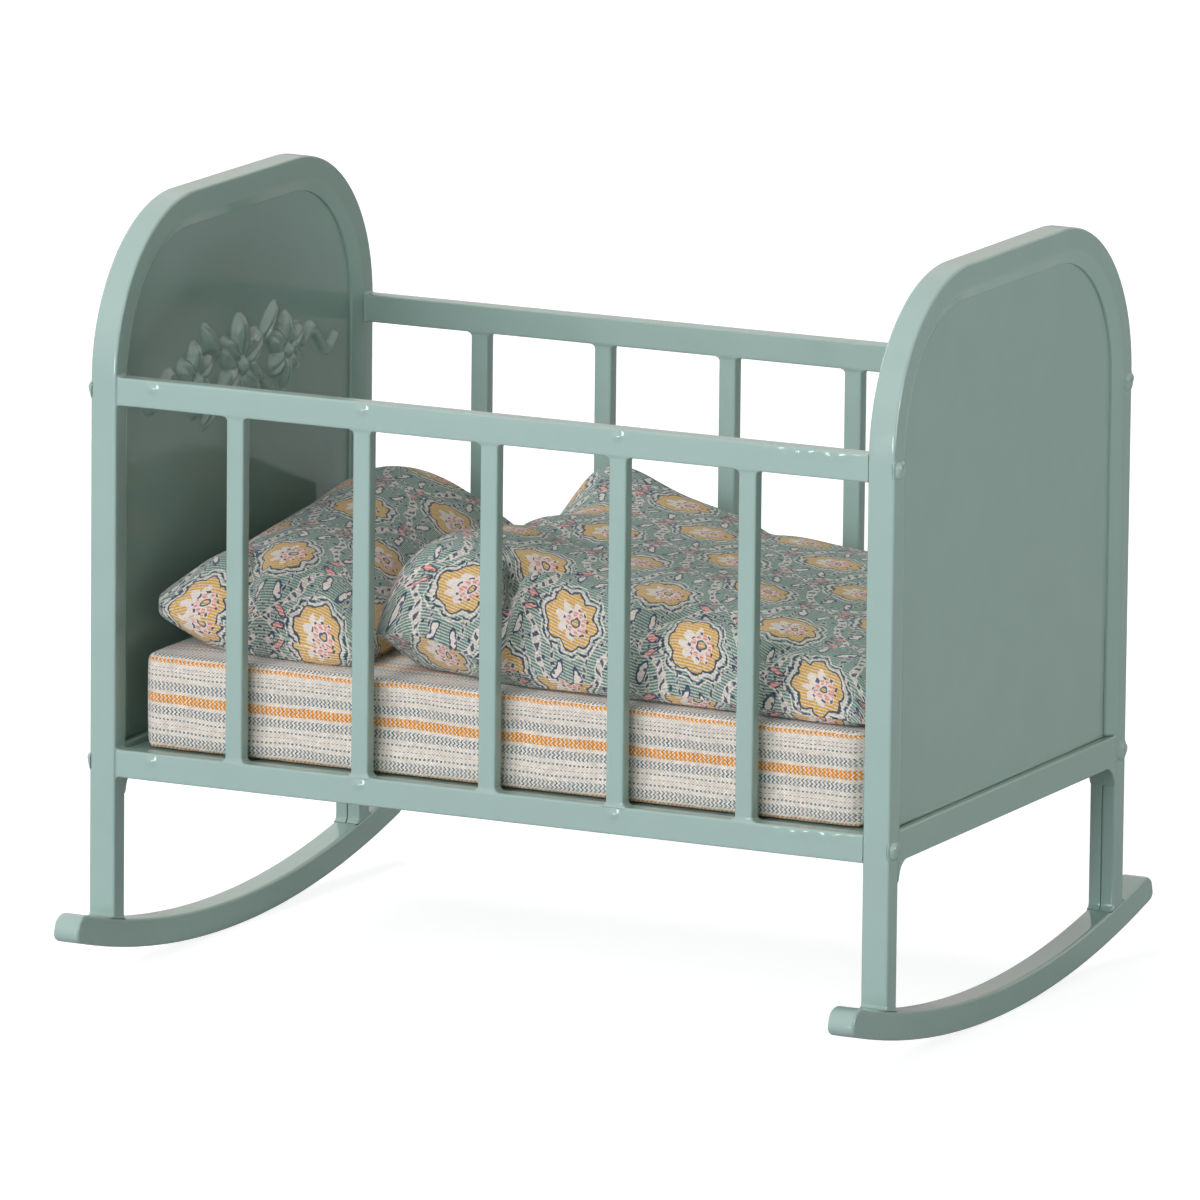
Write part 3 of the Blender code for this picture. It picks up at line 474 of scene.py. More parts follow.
def add_piece(name, points, faces, material, body, stands_for, cloth=None, weld=1e-7):
    """Make a mesh of these points and faces, close its seams and let it ride on its body."""
    mesh = bpy.data.meshes.new(name)
    mesh.from_pydata(np.asarray(points).reshape(-1, 3).tolist(), [], [list(f) for f in faces])
    if cloth is not None:
        corner = np.empty(len(mesh.loops), np.int32)
        mesh.loops.foreach_get("vertex_index", corner)
        layer = mesh.uv_layers.new(name="cloth")
        layer.uv.foreach_set("vector", cloth.reshape(-1, 2)[corner].ravel())
    bm = bmesh.new()
    bm.from_mesh(mesh)
    bmesh.ops.remove_doubles(bm, verts=bm.verts, dist=weld)
    bmesh.ops.recalc_face_normals(bm, faces=bm.faces)
    bm.to_mesh(mesh)
    bm.free()
    mesh.shade_smooth()
    mesh.materials.append(material_named(material))
    piece = bpy.data.objects.new(name, mesh)
    bpy.context.scene.collection.objects.link(piece)
    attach(piece, body)
    if stands_for:
        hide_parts(*stands_for)
    return piece


def add_enamelled(name, points, faces, stands_for):
    """An enamelled piece: its flat faces keep an even gloss up to the rounded edges."""
    piece = add_piece(name, points, faces, "stoved_enamel", BODY, stands_for)
    even = piece.modifiers.new("even_gloss", "WEIGHTED_NORMAL")
    even.keep_sharp = True
    even.weight = 80
    return piece


def rounded(places, cuts, steps):
    """Round the corners of closed outlines.

    Each corner P with cut c becomes a quadratic curve from P + c towards the corner before it to
    P + c towards the corner after it, with P as its handle. places is (..., corners, 2) and cuts
    is (..., corners); all outlines are worked out together.
    """
    before, after = np.roll(places, 1, -2), np.roll(places, -1, -2)
    to_before, to_after = before - places, after - places
    long_before = np.linalg.norm(to_before, axis=-1, keepdims=True) + 1e-12
    long_after = np.linalg.norm(to_after, axis=-1, keepdims=True) + 1e-12
    cut = np.broadcast_to(cuts, places.shape[:-1])[..., None]
    start = places + to_before / long_before * np.minimum(cut, 0.49 * long_before)
    end = places + to_after / long_after * np.minimum(cut, 0.49 * long_after)
    t = np.linspace(0, 1, steps + 1)[:, None]
    curve = ((1 - t) ** 2 * start[..., None, :] + 2 * t * (1 - t) * places[..., None, :]
             + t ** 2 * end[..., None, :])
    return curve.reshape(*places.shape[:-2], -1, 2)


def rectangles(half_a, half_b):
    """Corners of a rectangle of these half widths at each station, round from its lowest one."""
    return np.stack([np.stack([a * half_a, b * half_b], -1)
                     for a, b in ((-1, -1), (1, -1), (1, 1), (-1, 1))], 1)


def carried(sections):
    """Faces of closed sections carried along a path, with a flat cap at each end."""
    rows, columns = sections.shape[:2]
    caps = [list(range(columns)), [(rows - 1) * columns + i for i in range(columns)]]
    return grid_faces(rows, columns, True).tolist() + caps


def ease(value):
    """Smooth step from 0 to 1 over values from 0 to 1: 3t^2 - 2t^3."""
    value = np.clip(value, 0, 1)
    return value * value * (3 - 2 * value)


def pooled(height, radius):
    """Paint fillet: how far the surface swells at this height over the piece it stands on.

    It follows a quarter circle, radius - sqrt(radius^2 - (radius - height)^2).
    """
    rest = np.clip(radius - height, 0, radius)
    return radius - np.sqrt(np.maximum(radius ** 2 - rest ** 2, 0))


def dense(low, high, count, near, reach, extra):
    """Even stations from low to high, with extra ones within reach of each place in near."""
    parts = [np.linspace(low, high, count)]
    parts += [np.linspace(max(low, n - reach), min(high, n + reach), extra) for n in near]
    stations = np.unique(np.concatenate(parts).round(8))
    keep = np.concatenate([[True], np.diff(stations) > 1e-5])
    return stations[keep]


def rocker_top(y):
    """Height of a rocker's upper side: a circle about the point rocker_radius above the floor."""
    radius = sizes().rocker_radius - sizes().rocker_depth
    return sizes().rocker_radius - np.sqrt(radius ** 2 - y ** 2)


def arch_line():
    """Outer line of an end frame, from one leg's foot over the arch to the other's.

    Straight legs, quarter circles of the arch radius and a straight crown. Returns the places
    (y, z) and the inward normals.
    """
    radius = sizes().arch_radius
    spring = CROWN_Z - radius
    foot = float(rocker_top(np.array(HALF_WIDTH)))
    z = dense(foot, spring, 46, [foot, CROSS_HIGH[2]], 1.4 * MM, 14)
    turn = np.linspace(0, PI / 2, 37)[1:]
    leg = np.stack([np.full_like(z, HALF_WIDTH), z], 1)
    bend = np.stack([HALF_WIDTH - radius + radius * np.cos(turn),
                     spring + radius * np.sin(turn)], 1)
    flat = np.stack([np.linspace(HALF_WIDTH - radius, 0, 12)[1:], np.full(11, CROWN_Z)], 1)
    half = np.concatenate([leg, bend, flat])
    inward = np.concatenate([
        np.tile([-1.0, 0.0], (len(z), 1)),
        np.stack([-np.cos(turn), -np.sin(turn)], 1), np.tile([0.0, -1.0], (11, 1))])
    return [np.concatenate([part, part[-2::-1] * [-1, 1]]) for part in (half, inward)]


def end_frame(end, x):
    """The arched rim with its two legs.

    A section of ten corners is carried along the arch line. Above the crossbar it is the rim with
    a sloped lip on each face and a slot for the panel between them, below it is the leg with the
    folded sheet's seam on its inner side, and it eases from one to the other at the crossbar's
    top. Near the foot the section swells into a paint fillet on the rocker.
    """
    s = sizes()
    line, inward = arch_line()
    d, lip, slot = FRAME_DEPTH / 2, s.rim_flat + s.lip_width, 0.74 * MM
    face, root = d - s.lip_drop, lip - TUCK
    rim = np.array([(0, -d), (0, d), (s.rim_flat, d), (lip, face), (lip, slot), (root, slot),
                    (root, -slot), (lip, -slot), (lip, -face), (s.rim_flat, -d)])
    leg_face, fold, seam = s.leg_face, 0.6 * MM, 0.13 * MM
    root = leg_face - 0.3 * MM
    leg = np.array([(0, -d), (0, d), (leg_face, d), (leg_face, fold), (leg_face, seam),
                    (root, seam), (root, -seam), (leg_face, -seam), (leg_face, -fold),
                    (leg_face, -d)])
    rim_cut = np.array([1.0, 1.0, 1.1, 0.30, 0.10, 0.02, 0.02, 0.10, 0.30, 1.1]) * s.edge_round
    leg_cut = np.array([1.0, 1.0, 1.0, 0.10, 0.15, 0.02, 0.02, 0.15, 0.10, 1.0]) * s.edge_round
    share = ease((line[:, 1] - CROSS_HIGH[2] + 0.3 * MM) / (0.6 * MM))[:, None]
    places = rim * share[..., None] + leg * (1 - share[..., None])
    section = rounded(places, rim_cut * share + leg_cut * (1 - share), 7)
    depth = section[..., 1]
    foot = rocker_top(line[:, 0])
    over = np.where(line[:, 1] < CROSS_LOW[2], line[:, 1] - foot, 1.0)
    swell = pooled(over, s.pool)[:, None]
    middle = leg_face / 2
    n = section[..., 0] + swell * np.clip((section[..., 0] - middle) / middle, -1, 1)
    y = line[:, :1] + inward[:, :1] * n
    z = line[:, 1:] + inward[:, 1:] * n
    follow = np.clip(1 - over / (4 * MM), 0, 1)[:, None]
    z = z + follow * (rocker_top(y) - foot[:, None]) - 0.06 * MM * (over < 0.01 * MM)[:, None]
    points = np.stack([x + depth, y, z], -1)
    return add_enamelled(f"{end}_frame_enamelled", points, carried(points), [f"{end}_frame"])


# The pressed spray on the headboard, in millimetres from the middle of the spray
PETALS = 6
PETAL_LENGTH = 7.0
PETAL_WIDTH = 4.8
EYE_WIDTH = 3.2
SMALL_SHARE = 0.75
FLOWER_GAP = 14.5
LEAF_LENGTH = 8.0
LEAF_WIDTH = 2.6
LEAF_SHARE = 0.62
RIBBON_LENGTH = 11.0
RIBBON_SWING = 2.0
SPRAY_BELOW_CROWN = 29.0


def spray(y, z):
    """Height, from 0 to about 1.4, of the pressed spray of flowers at each (y, z) in millimetres.

    Each petal, leaf and eye is an ellipsoid cap, sqrt(1 - (a/length)^2 - (b/width)^2), in its own
    turned axes, with a ripple of a tenth of its rise; petals and leaves have a crease along the
    middle. Each ribbon end is a tube round a sine wave. The highest form wins at each place.
    """
    high = np.zeros_like(y)

    def cap(cy, cz, turn, length, width, rise, crease):
        a = (y - cy) * math.sin(turn) + (z - cz) * math.cos(turn)
        b = (y - cy) * math.cos(turn) - (z - cz) * math.sin(turn)
        inside = np.maximum(1 - (2 * a / length) ** 2 - (2 * b / width) ** 2, 0)
        form = rise * np.sqrt(inside) * (1 - crease * np.exp(-(b / 0.36) ** 2))
        return form + 0.10 * rise * np.sqrt(inside) * np.cos(3.0 * b + 0.9 * a)

    for centre, share in ((0.0, 1.0), (-FLOWER_GAP, SMALL_SHARE), (FLOWER_GAP, SMALL_SHARE)):
        reach = (PETAL_LENGTH / 2 + EYE_WIDTH / 4) * share
        for i in range(PETALS):
            turn = TAU * i / PETALS
            petal = cap(centre + reach * math.sin(turn), reach * math.cos(turn), turn,
                        PETAL_LENGTH * share, PETAL_WIDTH * share, 0.95, 0.45)
            high = np.maximum(high, petal)
        eye = cap(centre, 0.0, 0.0, EYE_WIDTH * share, EYE_WIDTH * share, 1.05, 0.0)
        high = np.maximum(high, eye)
    for side in (-1, 1):
        for rise in (-1, 1):
            leaf = cap(side * FLOWER_GAP * LEAF_SHARE, rise * LEAF_LENGTH * LEAF_SHARE,
                       side * rise * PI / 4, LEAF_LENGTH, LEAF_WIDTH, 0.85, 0.45)
            high = np.maximum(high, leaf)
        start = FLOWER_GAP + PETAL_LENGTH * SMALL_SHARE
        along = (side * y - start) / RIBBON_LENGTH
        wave = RIBBON_SWING * np.sin(along * TAU)
        slope = RIBBON_SWING * TAU / RIBBON_LENGTH * np.cos(along * TAU)
        off = (z - wave) / np.sqrt(1 + slope ** 2)
        width = 0.95 * np.sqrt(np.clip(1 - (2 * along - 1) ** 6, 0, 1)) + 1e-6
        tube = 0.60 * np.sqrt(np.maximum(1 - (off / width) ** 2, 0))
        high = np.maximum(high, np.where((along > 0) & (along < 1), tube, 0))
    return high


def softened(values, times):
    """Blur a grid of vectors: each becomes half itself and half the mean of its four neighbours."""
    for _ in range(times):
        padded = np.pad(values, ((1, 1), (1, 1), (0, 0)), mode="edge")
        values = (padded[:-2, 1:-1] + padded[2:, 1:-1] + padded[1:-1, :-2] + padded[1:-1, 2:]
                  + 4 * padded[1:-1, 1:-1]) / 8
    return values


def end_panel(end, x, pressed):
    """The sheet inside the rim.

    A grid of heights by places across, whose half width follows the arch. Both faces are one
    closed band: the front goes from left to right and the back returns. The sheet is not quite
    flat: slow sine waves of 0.05 mm bend its reflections. On the headboard the spray is added to
    the inner face.
    """
    s = sizes()
    inset = s.rim_flat + s.lip_width - TUCK
    half, radius, top = HALF_WIDTH - inset, s.arch_radius - inset, CROWN_Z - inset
    spray_z = CROWN_Z - SPRAY_BELOW_CROWN * MM
    if pressed:
        z = dense(CROSS_HIGH[2] - 2 * MM, top, 44, [spray_z], 9.4 * MM, 98)
        v = dense(-1, 1, 44, [0.0], 0.86, 256)
    else:
        z = np.linspace(CROSS_HIGH[2] - 2 * MM, top, 60)
        v = np.linspace(-1, 1, 60)
    z = np.concatenate([z, top - radius * (1 - np.sin(np.linspace(0.1, 1, 14) * PI / 2))])
    z = np.unique(z.round(8))
    over = np.clip(z - (top - radius), 0, radius)
    wide = half - radius + np.sqrt(radius ** 2 - over ** 2)
    y = wide[:, None] * v[None, :]
    zz = np.broadcast_to(z[:, None], y.shape)
    thick = (PANEL_HIGH[0] - PANEL_LOW[0]) / 2
    dent = 0.05 * MM * (np.sin(y / (13 * MM) + 1.3) * np.sin(zz / (17 * MM))
                        + 0.5 * np.sin(y / (6.1 * MM) + zz / (8.3 * MM)))
    front = thick + dent
    if pressed:
        high = softened(spray(y / MM, (zz - spray_z) / MM)[..., None], 2)[..., 0]
        front = front + s.relief_rise * high
    back = dent[:, ::-1] - thick
    close = np.ones(len(z))
    close[[0, -1]] = 0
    band = np.concatenate([front, back], 1) * close[:, None]
    points = np.stack([x + band, np.concatenate([y, y[:, ::-1]], 1),
                       np.concatenate([zz, zz], 1)], -1)
    faces = grid_faces(*points.shape[:2], True)
    return add_enamelled(f"{end}_panel_enamelled", points, faces.tolist(), [f"{end}_panel"])


def crossbar(end, x):
    """The bar under a panel, carried from leg to leg, with a slot along its top for the sheet.

    Its underside curves down into each leg along a quarter circle, and its ends are sunk in the
    legs, so the paint runs over the joint without a break.
    """
    s = sizes()
    sunk, fillet, foot = 0.4 * MM, 3.0 * MM, 0.04 * MM
    half = CROSS_HIGH[1] + sunk
    y = dense(-half, half, 40, [-half, half], 4.6 * MM, 30)
    near = half - sunk - foot - np.abs(y)
    bottom = CROSS_HIGH[2] - 4.7 * MM - pooled(near, fillet)
    top, d, slot = CROSS_HIGH[2], FRAME_DEPTH / 2, 0.86 * MM
    upper = top + pooled(near + foot, 0.5 * MM)
    inside = np.full_like(y, top - 1.4 * MM)
    z = np.stack([bottom, bottom, upper, upper, inside, inside, upper, upper], 1)
    depth = np.tile([-d, d, d, slot, slot, -slot, -slot, -d], (len(y), 1))
    cuts = np.array([1.0, 1.0, 0.9, 0.35, 0.05, 0.05, 0.35, 0.9]) * s.edge_round
    section = rounded(np.stack([z, depth], -1), cuts, 6)
    points = np.stack([x + section[..., 1], np.broadcast_to(y[:, None], section.shape[:2]),
                       section[..., 0]], -1)
    return add_enamelled(f"{end}_crossbar_enamelled", points, carried(points), [f"{end}_crossbar"])


def rocker(end, x):
    """A curved rocker: a rounded section carried round its circle.

    At angle a the underside lies at the rocker radius and the upper side at that less the depth.
    Near each tip the underside rises along a small ellipse and the upper side falls along a
    larger one, so that the tip is a blunt nose, and the sides draw in to close it.
    """
    s = sizes()
    radius, deep = s.rocker_radius, s.rocker_depth
    low, high = 1.5 * MM, 2.7 * MM
    tip = math.asin(ROCKER_TIP / (radius - low))
    t = np.sin(np.linspace(-1, 1, 241) * PI / 2)
    nose = np.sin(np.linspace(0, 1, 26)[1:-1] * PI / 2)
    ends = 1 - (1 - nose) * high / (radius * tip)
    t = np.unique(np.concatenate([t, ends, -ends]).round(7))
    from_tip = (1 - np.abs(t)) * tip * radius

    def ellipse(reach):
        return np.sqrt(np.clip(1 - (1 - np.clip(from_tip / reach, 0, 1)) ** 2, 0, 1))

    under, upper, draw = low * (1 - ellipse(low)), high * (1 - ellipse(high)), ellipse(0.7 * MM)
    half = FRAME_DEPTH / 2 * (0.78 + 0.22 * draw)
    r_low, r_high = radius - under, radius - deep + upper
    r_low = np.maximum(r_low, r_high + 0.02 * MM)
    corner = np.stack([
        np.stack([r_low, -half], -1), np.stack([r_low, half], -1),
        np.stack([r_high, half], -1), np.stack([r_high, -half], -1)], 1)
    section = rounded(corner, np.full(4, 1.25 * s.edge_round), 8)
    angle = (t * tip)[:, None]
    points = np.stack([x + section[..., 1], section[..., 0] * np.sin(angle),
                       radius - section[..., 0] * np.cos(angle)], -1)
    return add_enamelled(f"{end}_rocker_enamelled", points, carried(points), [f"{end}_rocker"])


# Small round marks of the spot welds, as places along the front rails in millimetres
WELD_MARKS = (-55.0, -20.7, 20.7)


def rail(side, sign, level):
    """A side rail, a rounded section carried along X, with shallow weld marks on the front ones.

    The head end and the rear rails run into the legs under a small paint fillet; the foot end of
    the front rails stops a hair short of the leg. The metal waves by 0.035 mm, and on the front
    rails a few runs and lumps of paint stand near the foot end.
    """
    s = sizes()
    name = f"{side}_{level}_rail"
    low, high = RAIL_BOXES[level]
    y_mid = sign * (low[1] + high[1]) / 2
    half_y, z_mid, half_z = (high[1] - low[1]) / 2, (low[2] + high[2]) / 2, (high[2] - low[2]) / 2
    end = INNER_X - 0.13 * MM if side == "front" else INNER_X + 0.2 * MM
    x = dense(-INNER_X - 0.2 * MM, end, 320, [m * MM for m in WELD_MARKS] + [-INNER_X, end],
              1.3 * MM, 30)
    swell = pooled(x + INNER_X, 0.45 * MM)
    if side == "rear":
        swell = swell + pooled(INNER_X - x, 0.45 * MM)
    places = rectangles(half_y + swell * 0.35, half_z + swell)
    bends = rounded(places, np.full(4, 0.85 * s.edge_round), 8).reshape(len(x), 4, 9, 2)
    # each flat side gets points of its own, so that its waves and marks show
    share = np.linspace(0, 1, 14)[1:-1][:, None]
    last, following = bends[:, :, -1:], np.roll(bends, -1, 1)[:, :, :1]
    section = np.concatenate([bends, last + (following - last) * share], 2)
    yy, zz = np.moveaxis(section.reshape(len(x), -1, 2), -1, 0)
    xx = np.broadcast_to(x[:, None], yy.shape)
    wave = 0.035 * MM * (np.sin(xx / (7.3 * MM) + 1.7 * sign)
                         * np.sin(xx / (3.1 * MM) + zz / (2.0 * MM)))
    y_out = sign * (yy - wave)
    if side == "front":
        runs = np.exp(-((xx - 52 * MM) / (6 * MM)) ** 2 - ((zz - 1.3 * MM) / (0.7 * MM)) ** 2)
        lumps = np.sin(xx / (0.55 * MM)) * np.sin(xx / (1.3 * MM) + zz / (0.6 * MM))
        y_out = y_out + sign * (yy > 0) * 0.09 * MM * runs * (1 + lumps)
        for mark in WELD_MARKS:
            away = np.hypot((xx - mark * MM) / (0.85 * MM), (zz - 0.90 * MM) / (0.62 * MM))
            y_out = y_out + sign * (yy > 0) * 0.27 * MM * np.exp(-away ** 2.4)
    points = np.stack([xx, y_mid + y_out, z_mid + zz], -1)
    return add_enamelled(f"{name}_enamelled", points, carried(points), [name])


# Tenon heads: half width, half height and rise, and how far their skirt of paint reaches
HEAD_WIDE, HEAD_TALL, HEAD_RISE = 1.5 * MM, 1.4 * MM, 0.72 * MM
HEAD_POWER = 2.6
SKIRT_REACH = 0.28
SUNK = 0.03 * MM


def tenon_heads():
    """The ends of the rails' tenons, hammered over outside the end frames and painted.

    Each is a superellipsoid cap, sideways and upright powers 2.6, that leans a little; the paint
    gathers round its edge in a thin skirt.
    """
    a = np.linspace(0, TAU, 48, endpoint=False)
    r = np.sin(np.linspace(0, 1, 22) * PI / 2)[:, None]
    out = np.linspace(1.0, 1.0 + SKIRT_REACH, 7)[1:, None]
    c, s = np.cos(a), np.sin(a)
    edge = (np.abs(c) ** HEAD_POWER + np.abs(s) ** HEAD_POWER) ** (-1 / HEAD_POWER)
    reach = np.concatenate([r, out, out[-1:]]) * edge
    dome = np.sqrt(np.clip(1 - r ** 2.4, 0, 1))
    skirt = 0.12 * MM * (1 - (out - 1) / SKIRT_REACH) ** 2 - SUNK
    for end, side_x in ENDS:
        face = side_x * (FRAME_X + FRAME_DEPTH / 2)
        for side, sign in SIDES:
            for level, (low, high) in RAIL_BOXES.items():
                y0, z0 = sign * (low[1] + high[1]) / 2, (low[2] + high[2]) / 2
                tilt = 1 + (0.22 * np.sin(a - 0.9) + 0.16 * np.sin(3 * a + z0 / MM)) * r
                up = np.concatenate([HEAD_RISE * dome * tilt + SUNK, skirt + 0 * a,
                                     np.full((1, len(a)), -0.3 * MM)])
                points = np.stack([face + side_x * up, y0 + reach * c * HEAD_WIDE,
                                   z0 + reach * s * HEAD_TALL], -1)
                faces = grid_faces(*points.shape[:2], True).tolist()
                faces.append(list(range((len(points) - 1) * len(a), len(points) * len(a))))
                add_enamelled(f"{end}_{side}_{level}_tenon_head", points, faces, [])


def bar(side, index):
    """An upright bar: a rounded section carried up Z that swells into the rails at both ends."""
    s = sizes()
    name = f"{side}_bar_{index}"
    low, high = corners(name)
    z0, z1 = RAIL_BOXES["top"][0][2], RAIL_BOXES["bottom"][1][2]
    flare = 0.7 * MM
    width = (high[0] - low[0]) / 2 - flare
    thick, y_mid, x_mid = (high[1] - low[1]) / 2, (high[1] + low[1]) / 2, (high[0] + low[0]) / 2
    z = dense(z1 - 0.25 * MM, z0 + 0.25 * MM, 30, [z1, z0], 1.3 * MM, 18)
    swell = pooled(np.minimum(z - z1, z0 - z), s.pool)
    places = rectangles(width + swell, thick + 0.22 * swell)
    section = rounded(places, np.full(4, 0.9 * s.edge_round), 7)
    points = np.stack([x_mid + section[..., 0], y_mid + section[..., 1],
                       np.broadcast_to(z[:, None], section.shape[:2])], -1)
    return add_enamelled(f"{name}_enamelled", points, carried(points), [name])


# Bedding --------------------------------------------------------------------------------------

SIM_SCALE = 10.0      # the cloth solver is made for things of about a metre
SIM_FRAMES = 20
CLOTH_SETTINGS = {
    "quality": 4, "mass": 0.3, "tension_stiffness": 20, "compression_stiffness": 20,
    "shear_stiffness": 8, "bending_stiffness": 0.3, "use_pressure": True}


def settled(points, faces, cap, pressure):
    """How far each point of a stuffed form moves under a little inner pressure, without gravity.

    A copy ten times as large runs through Blender's cloth solver for 20 frames. Its movement m,
    less the middle one of all, is shortened to cap * tanh(|m| / cap).
    """
    places, back = np.unique(points.round(8), axis=0, return_inverse=True)
    back = back.reshape(-1)
    centre = places.mean(0)
    mesh = bpy.data.meshes.new("trial")
    mesh.from_pydata(((places - centre) * SIM_SCALE).tolist(), [], back[faces].tolist())
    bm = bmesh.new()
    bm.from_mesh(mesh)
    bmesh.ops.recalc_face_normals(bm, faces=bm.faces)
    bm.to_mesh(mesh)
    bm.free()
    scene = bpy.context.scene
    trial = bpy.data.objects.new("trial", mesh)
    scene.collection.objects.link(trial)
    cloth = trial.modifiers.new("cloth", "CLOTH")
    for key, value in CLOTH_SETTINGS.items():
        setattr(cloth.settings, key, value)
    cloth.settings.uniform_pressure_force = pressure
    cloth.settings.effector_weights.gravity = 0
    cloth.point_cache.frame_start = 1
    cloth.point_cache.frame_end = SIM_FRAMES
    for step in range(1, SIM_FRAMES + 1):
        scene.frame_set(step)
    moved = trial.evaluated_get(bpy.context.evaluated_depsgraph_get())
    after = np.empty(places.size)
    moved.data.vertices.foreach_get("co", after)
    move = after.reshape(-1, 3) / SIM_SCALE + centre - places
    bpy.data.objects.remove(trial, do_unlink=True)
    bpy.data.meshes.remove(mesh)
    scene.frame_set(1)
    move -= np.median(move, 0)
    far = np.linalg.norm(move, axis=1, keepdims=True) + 1e-12
    return (move * cap * np.tanh(far / cap) / far)[back]


def refined(values, old, new):
    """Carry a grid of vectors from its old lines to new ones, straight between them both ways."""
    for axis in (0, 1):
        values = np.moveaxis(values, axis, 0)
        place = np.interp(new[axis], old[axis], np.arange(len(old[axis])))
        low = np.minimum(place.astype(int), len(old[axis]) - 2)
        share = (place - low)[:, None, None]
        values = np.moveaxis(values[low] * (1 - share) + values[low + 1] * share, 0, axis)
    return values


def mattress_top(x, y):
    """Height of the mattress's crowned top: 0.7 mm more in the middle than at its edges."""
    u = np.clip(np.abs(x) / MATTRESS_HIGH[0], 0, 1)
    v = np.clip(np.abs(y) / MATTRESS_HIGH[1], 0, 1)
    return MATTRESS_HIGH[2] - MATTRESS_CROWN * MM * (1 - (1 - u ** 2) * (1 - v ** 2))


def box_sides(half, radius, count, turns):
    """The six sides of a box with rounded edges, each as its grid of points and its two lines.

    A point p of the plain box is pulled to q + radius * d, where q is p clipped to the box less
    the radius, and d is the unit vector from q to p.
    """
    sides = []
    for axis in range(3):
        b, c = [i for i in range(3) if i != axis]
        lines = []
        for k in (b, c):
            flat = half[k] - radius
            turn = np.tan(np.linspace(0, 1, turns + 1)[1:] * PI / 4) * radius
            lines.append(np.concatenate([
                -flat - turn[::-1], np.linspace(-flat, flat, count[k]), flat + turn]))
        u, v = np.meshgrid(*lines, indexing="ij")
        for side in (-1, 1):
            p = np.zeros(u.shape + (3,))
            p[..., b], p[..., c], p[..., axis] = u, v, side * half[axis]
            q = np.clip(p, -(half - radius), half - radius)
            d = p - q
            d /= np.linalg.norm(d, axis=-1, keepdims=True)
            sides.append((q + radius * d, lines))
    return sides


def joined(grids):
    """Points and faces of several grids together."""
    points, faces, start = [], [], 0
    for grid in grids:
        points.append(grid.reshape(-1, 3))
        faces.append(grid_faces(*grid.shape[:2]) + start)
        start += len(points[-1])
    return np.concatenate(points), np.concatenate(faces)


def mattress():
    """A box cushion in striped ticking.

    A rounded box whose top is crowned, whose sides draw in between the corners, with slow hollows
    along the sides and small puckers near the seams. The cloth solver runs on a coarser copy of
    the same form.
    """
    low, high = MATTRESS_LOW, MATTRESS_HIGH
    half = (high - low) / 2
    middle = (high + low) / 2
    half[2] -= MATTRESS_CROWN / 2 * MM
    middle[2] -= MATTRESS_CROWN / 2 * MM

    def shaped(points):
        u, v, w = np.moveaxis(points / half, -1, 0)
        x, y, z = np.moveaxis(points, -1, 0)
        waist = 1 - w ** 2
        side_x, side_y = np.abs(u) ** 8, np.abs(v) ** 8
        hollow = MM * (0.22 * np.sin(x / (9.7 * MM) + 0.6)
                       + 0.16 * np.sin(x / (4.3 * MM) + 2.0 + 1.2 * w))
        hollow_x = 0.2 * MM * np.sin(y / (8.1 * MM) + 1.0)
        pucker = 0.07 * MM * np.sin(x / (0.62 * MM) + 3 * np.sin(x / (6 * MM))) * np.abs(w) ** 6
        corner = 1.3 * MM * np.abs(u) ** 30 * np.abs(v) ** 20
        x = x - np.sign(u) * (side_x * (0.5 * MM * (1 - v ** 2) - hollow_x) * waist + corner)
        draw = (0.5 * MM * (1 - u ** 2) - hollow) * waist - pucker
        y = y - np.sign(v) * (side_y * draw + corner)
        top = mattress_top(x, y) - (middle[2] + half[2])
        soft = 0.12 * MM * np.sin(x / (7 * MM) + 0.5) * np.sin(y / (9 * MM) + 1)
        z = z + (w + 1) / 2 * (top + soft * (1 - u ** 4) * (1 - v ** 4))
        return np.stack([x, y, z], -1) + middle

    edge = 1.5 * MM
    coarse = box_sides(half, edge, (50, 32, 7), 3)
    fine = box_sides(half, edge, (150, 96, 20), 8)
    points, faces = joined([shaped(grid) for grid, _ in coarse])
    move = settled(points, faces, 0.35 * MM, 3.0)
    grids, start = [], 0
    for (small, old), (large, new) in zip(coarse, fine):
        size = small.shape[0] * small.shape[1]
        shift = refined(move[start:start + size].reshape(small.shape), old, new)
        grids.append(shaped(large) + shift)
        start += size
    points, faces = joined(grids)
    points[:, 2] = np.maximum(points[:, 2], low[2])
    piece = add_piece("striped_mattress", points, faces.tolist(), "cotton_ticking",
                      "loose_mattress", ["mattress"], weld=0.02 * MM)
    return piece


def cloth_map(upper, lower):
    """Cloth coordinates in metres: arc length along the grid lines, measured from the middle.

    The lower side continues outwards from the seam, as if the cloth were folded over it.
    """
    maps = []
    for grid in (upper, lower):
        rows, columns = grid.shape[:2]
        du = np.linalg.norm(np.diff(grid, axis=0), axis=-1)
        dv = np.linalg.norm(np.diff(grid, axis=1), axis=-1)
        u = np.concatenate([np.zeros((1, columns)), np.cumsum(du, 0)])
        v = np.concatenate([np.zeros((rows, 1)), np.cumsum(dv, 1)], 1)
        u -= u[rows // 2][None, :]
        v -= v[:, columns // 2][:, None]
        maps.append(np.stack([u + grid[rows // 2, columns // 2, 0], v], -1))
    return np.stack(maps)


def even_lines(count):
    """Places from -1 to 1 that stand closer towards the ends: sin(t * pi / 2)."""
    return np.sin(np.linspace(-1, 1, count) * PI / 2)


